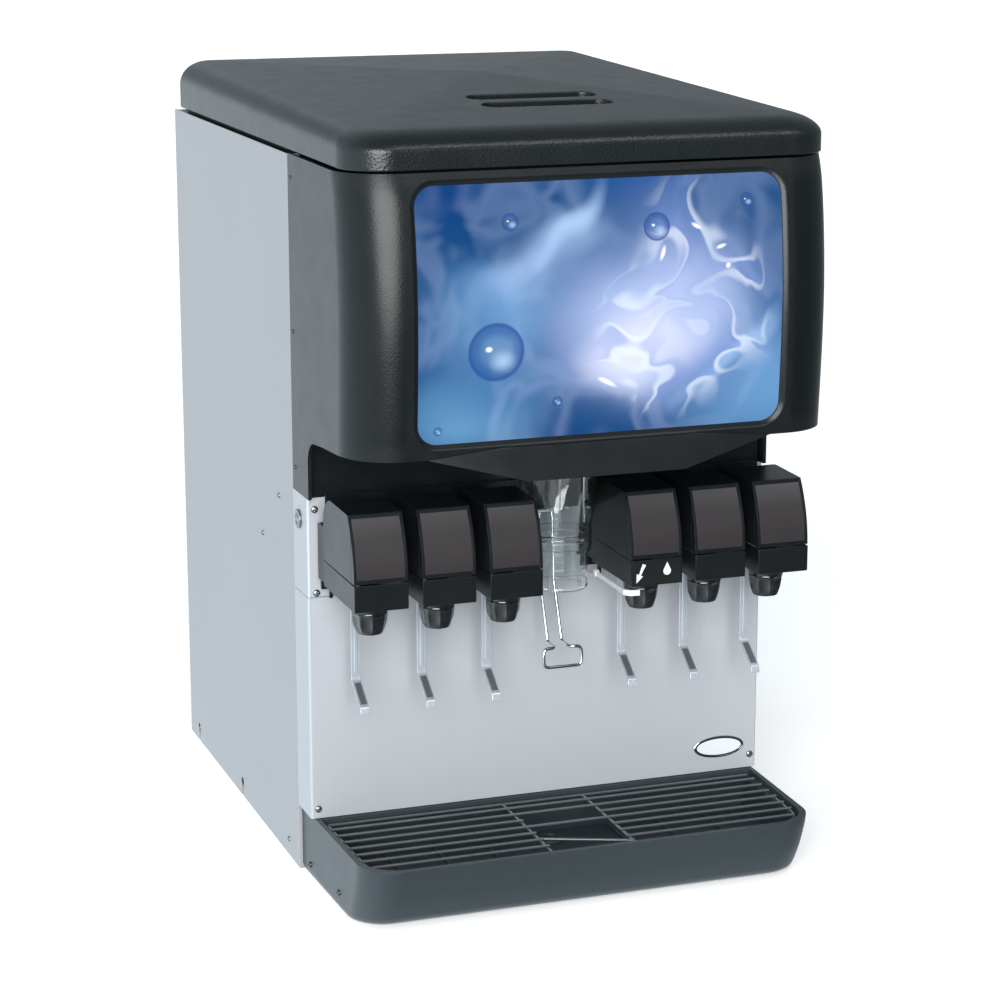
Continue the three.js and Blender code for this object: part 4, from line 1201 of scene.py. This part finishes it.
def make_chute_collar():
    """Two thick rings with a groove between them, under the housing."""
    bore, groove, rim = 34.2, 37.2, 38
    profile = [
        (bore, 396), (rim - 0.6, 396), (rim, 397), (rim, 404), (groove, 405), (groove, 408),
        (rim, 409), (rim, 412.6), (bore, 412.8),
    ]
    dress(lathe(profile, 0, CHUTE_Y, 96, True), "chute_collar", "root", "clear_plastic", 0.3, 2)


def make_ice_tube():
    """The lower tube, with a rolled foot, a bead half-way up and a flange on top."""
    bore, wall, bead, flange = 31, 33.5, 33.9, 37.5
    profile = [
        (bore, 348.4), (31.6, 347.9), (33.2, 347.9), (33.6, 349), (33.6, 350.4), (32.9, 351.4),
        (wall, 372), (bead, 373), (wall, 374), (wall, 391), (flange, 391.4), (flange, 395.7),
        (bore, 395.7),
    ]
    tube = lathe(profile, 0, CHUTE_Y, 96, True)
    dress(tube, "ice_chute_tube", "root", "clear_plastic", 0.3, 2, ("ice_chute",))


def make_ice_lever():
    """A bent wire: two legs down from the pivot, forward under the tube, and out into a loop."""
    apart, reach, (y, z) = 8.5, 23, ICE_LEVER_PIVOT
    right = [
        (apart, y, z), (apart, -68, 396), (apart, -74, 346), (apart, -99.5, 284),
        (apart, -102, 278), (apart, -127, 278), (reach, -127.5, 278), (reach, -129, 256),
    ]
    left = [(-x, y, z) for x, y, z in reversed(right)]
    loop = sweep(fillet(right + left, 7, 8), 1.9, 20)
    rod = sweep([(-30, y, z), (30, y, z)], 3, 24)
    dress(merge([loop, rod]), "ice_lever_wire", body_of("ice_lever"), "chrome", stands_for=("ice_lever",))


# Lid


def lid_height(x, y):
    """Top of the lid: a slope to the front with a shallow hipped crown."""
    back_height, slope, sharpness = 899.5, 0.027, 20
    across = abs(x) / LID_HALF
    along = abs(y - LID_MIDDLE) / (CABINET_BACK - LID_MIDDLE)
    hip = (across**sharpness + along**sharpness) ** (1 / sharpness)
    return back_height - slope * (CABINET_BACK - y) + LID_CROWN * (1 - hip)


def lid_plan(side_inset, front_inset):
    half = LID_HALF - side_inset
    front = LID_FRONT + front_inset
    back = CABINET_BACK - side_inset
    front_radius = 50 - side_inset * 0.5
    back_radius = 26 - side_inset * 0.4
    return [
        *arc(-half + front_radius, front + front_radius, front_radius, 180, 270, 16),
        *arc(half - front_radius, front + front_radius, front_radius, 270, 360, 16),
        *arc(half - back_radius, back - back_radius, back_radius, 0, 90, 10),
        *arc(-half + back_radius, back - back_radius, back_radius, 90, 180, 10),
    ]


def lid_ring(share, side_inset, front_inset):
    """A level of the lid's side, a share of the way from its lip to its top."""
    plan = lid_plan(side_inset, front_inset)
    return [(x, y, LID_LIP + (lid_height(x, y) - LID_LIP) * share) for x, y in plan]


def lid_shell():
    """Upright sides, a rounded shoulder and a top that closes in rings towards its middle."""
    steps = 14
    rings = [lid_ring(0, 0, 0), lid_ring(0.25, 0, 0)]
    for i in range(steps + 1):
        angle = math.radians(90 * i / steps)
        run = 1 - math.cos(angle)
        rings.append(lid_ring(0.5 + 0.5 * math.sin(angle), LID_EDGE * run, LID_FRONT_EDGE * run))
    for share in (0.9, 0.75, 0.6, 0.45, 0.3, 0.15, 0.04):
        plan = lid_plan(LID_EDGE, LID_FRONT_EDGE)
        plan = [(x * share, LID_MIDDLE + (y - LID_MIDDLE) * share) for x, y in plan]
        rings.append([(x, y, lid_height(x, y)) for x, y in plan])
    return loft(rings)


def make_lid():
    half, reach, deep = 77, 16, 9
    pocket = prism(lid_plan(3.5, 4), LID_LIP - 5, 846)
    shell = lid_shell()
    grips = []
    for y in (-72, -20):
        floor = lid_height(0, y) - deep
        outline = rounded_box(-half, half, y - reach, y + reach, reach - 0.1, 10)
        grips.append(prism(outline, floor, floor + 40))
    combine(shell, [pocket, *grips])
    dress(shell, "lid_moulding", body_of("lid"), "lid_plastic", 1.3, 4, ("lid",), sharp=40)


# Inner parts and the parts that keep their CAD shape


def make_inner_parts():
    soft_edges = {
        "inner_wall": 0.5,
        "lamp_reflector": 0.3,
        "hopper_liner": 1.5,
        "cold_plate": 1.2,
        "agitator_motor": 1.5,
        "paddle_wheel": 0.8,
        "chute_gate": 0.4,
        "gate_solenoid": 0.8,
        "key_switch_barrel": 0.5,
        "key_switch_rotor": 0.3,
        "transformer": 1.0,
        "control_box": 1.0,
    }
    steel = dict.fromkeys(("key_switch_barrel", "key_switch_rotor"), LOOKS["screw_steel"])
    for node, bevel in soft_edges.items():
        refined(node, bevel, look=steel.get(node))
    for node, obj in frame["nodes"].items():
        obj.data.materials.clear()
        obj.data.materials.append(LOOKS[SLOTS[node]])
        for polygon in obj.data.polygons:
            polygon.use_smooth = True
        obj.data.set_sharp_from_angle(angle=math.radians(SHARP))


LOOKS = make_looks()

make_camera()
make_studio()
make_cabinet()
make_rim_seal_and_shade()
make_badge()
make_surround()
make_graphic()
make_tray()
make_cup_rest()
make_valves()
make_splash_trim()
make_water_label()
make_chute()
make_ice_lever()
make_lid()
make_inner_parts()
make_fasteners()
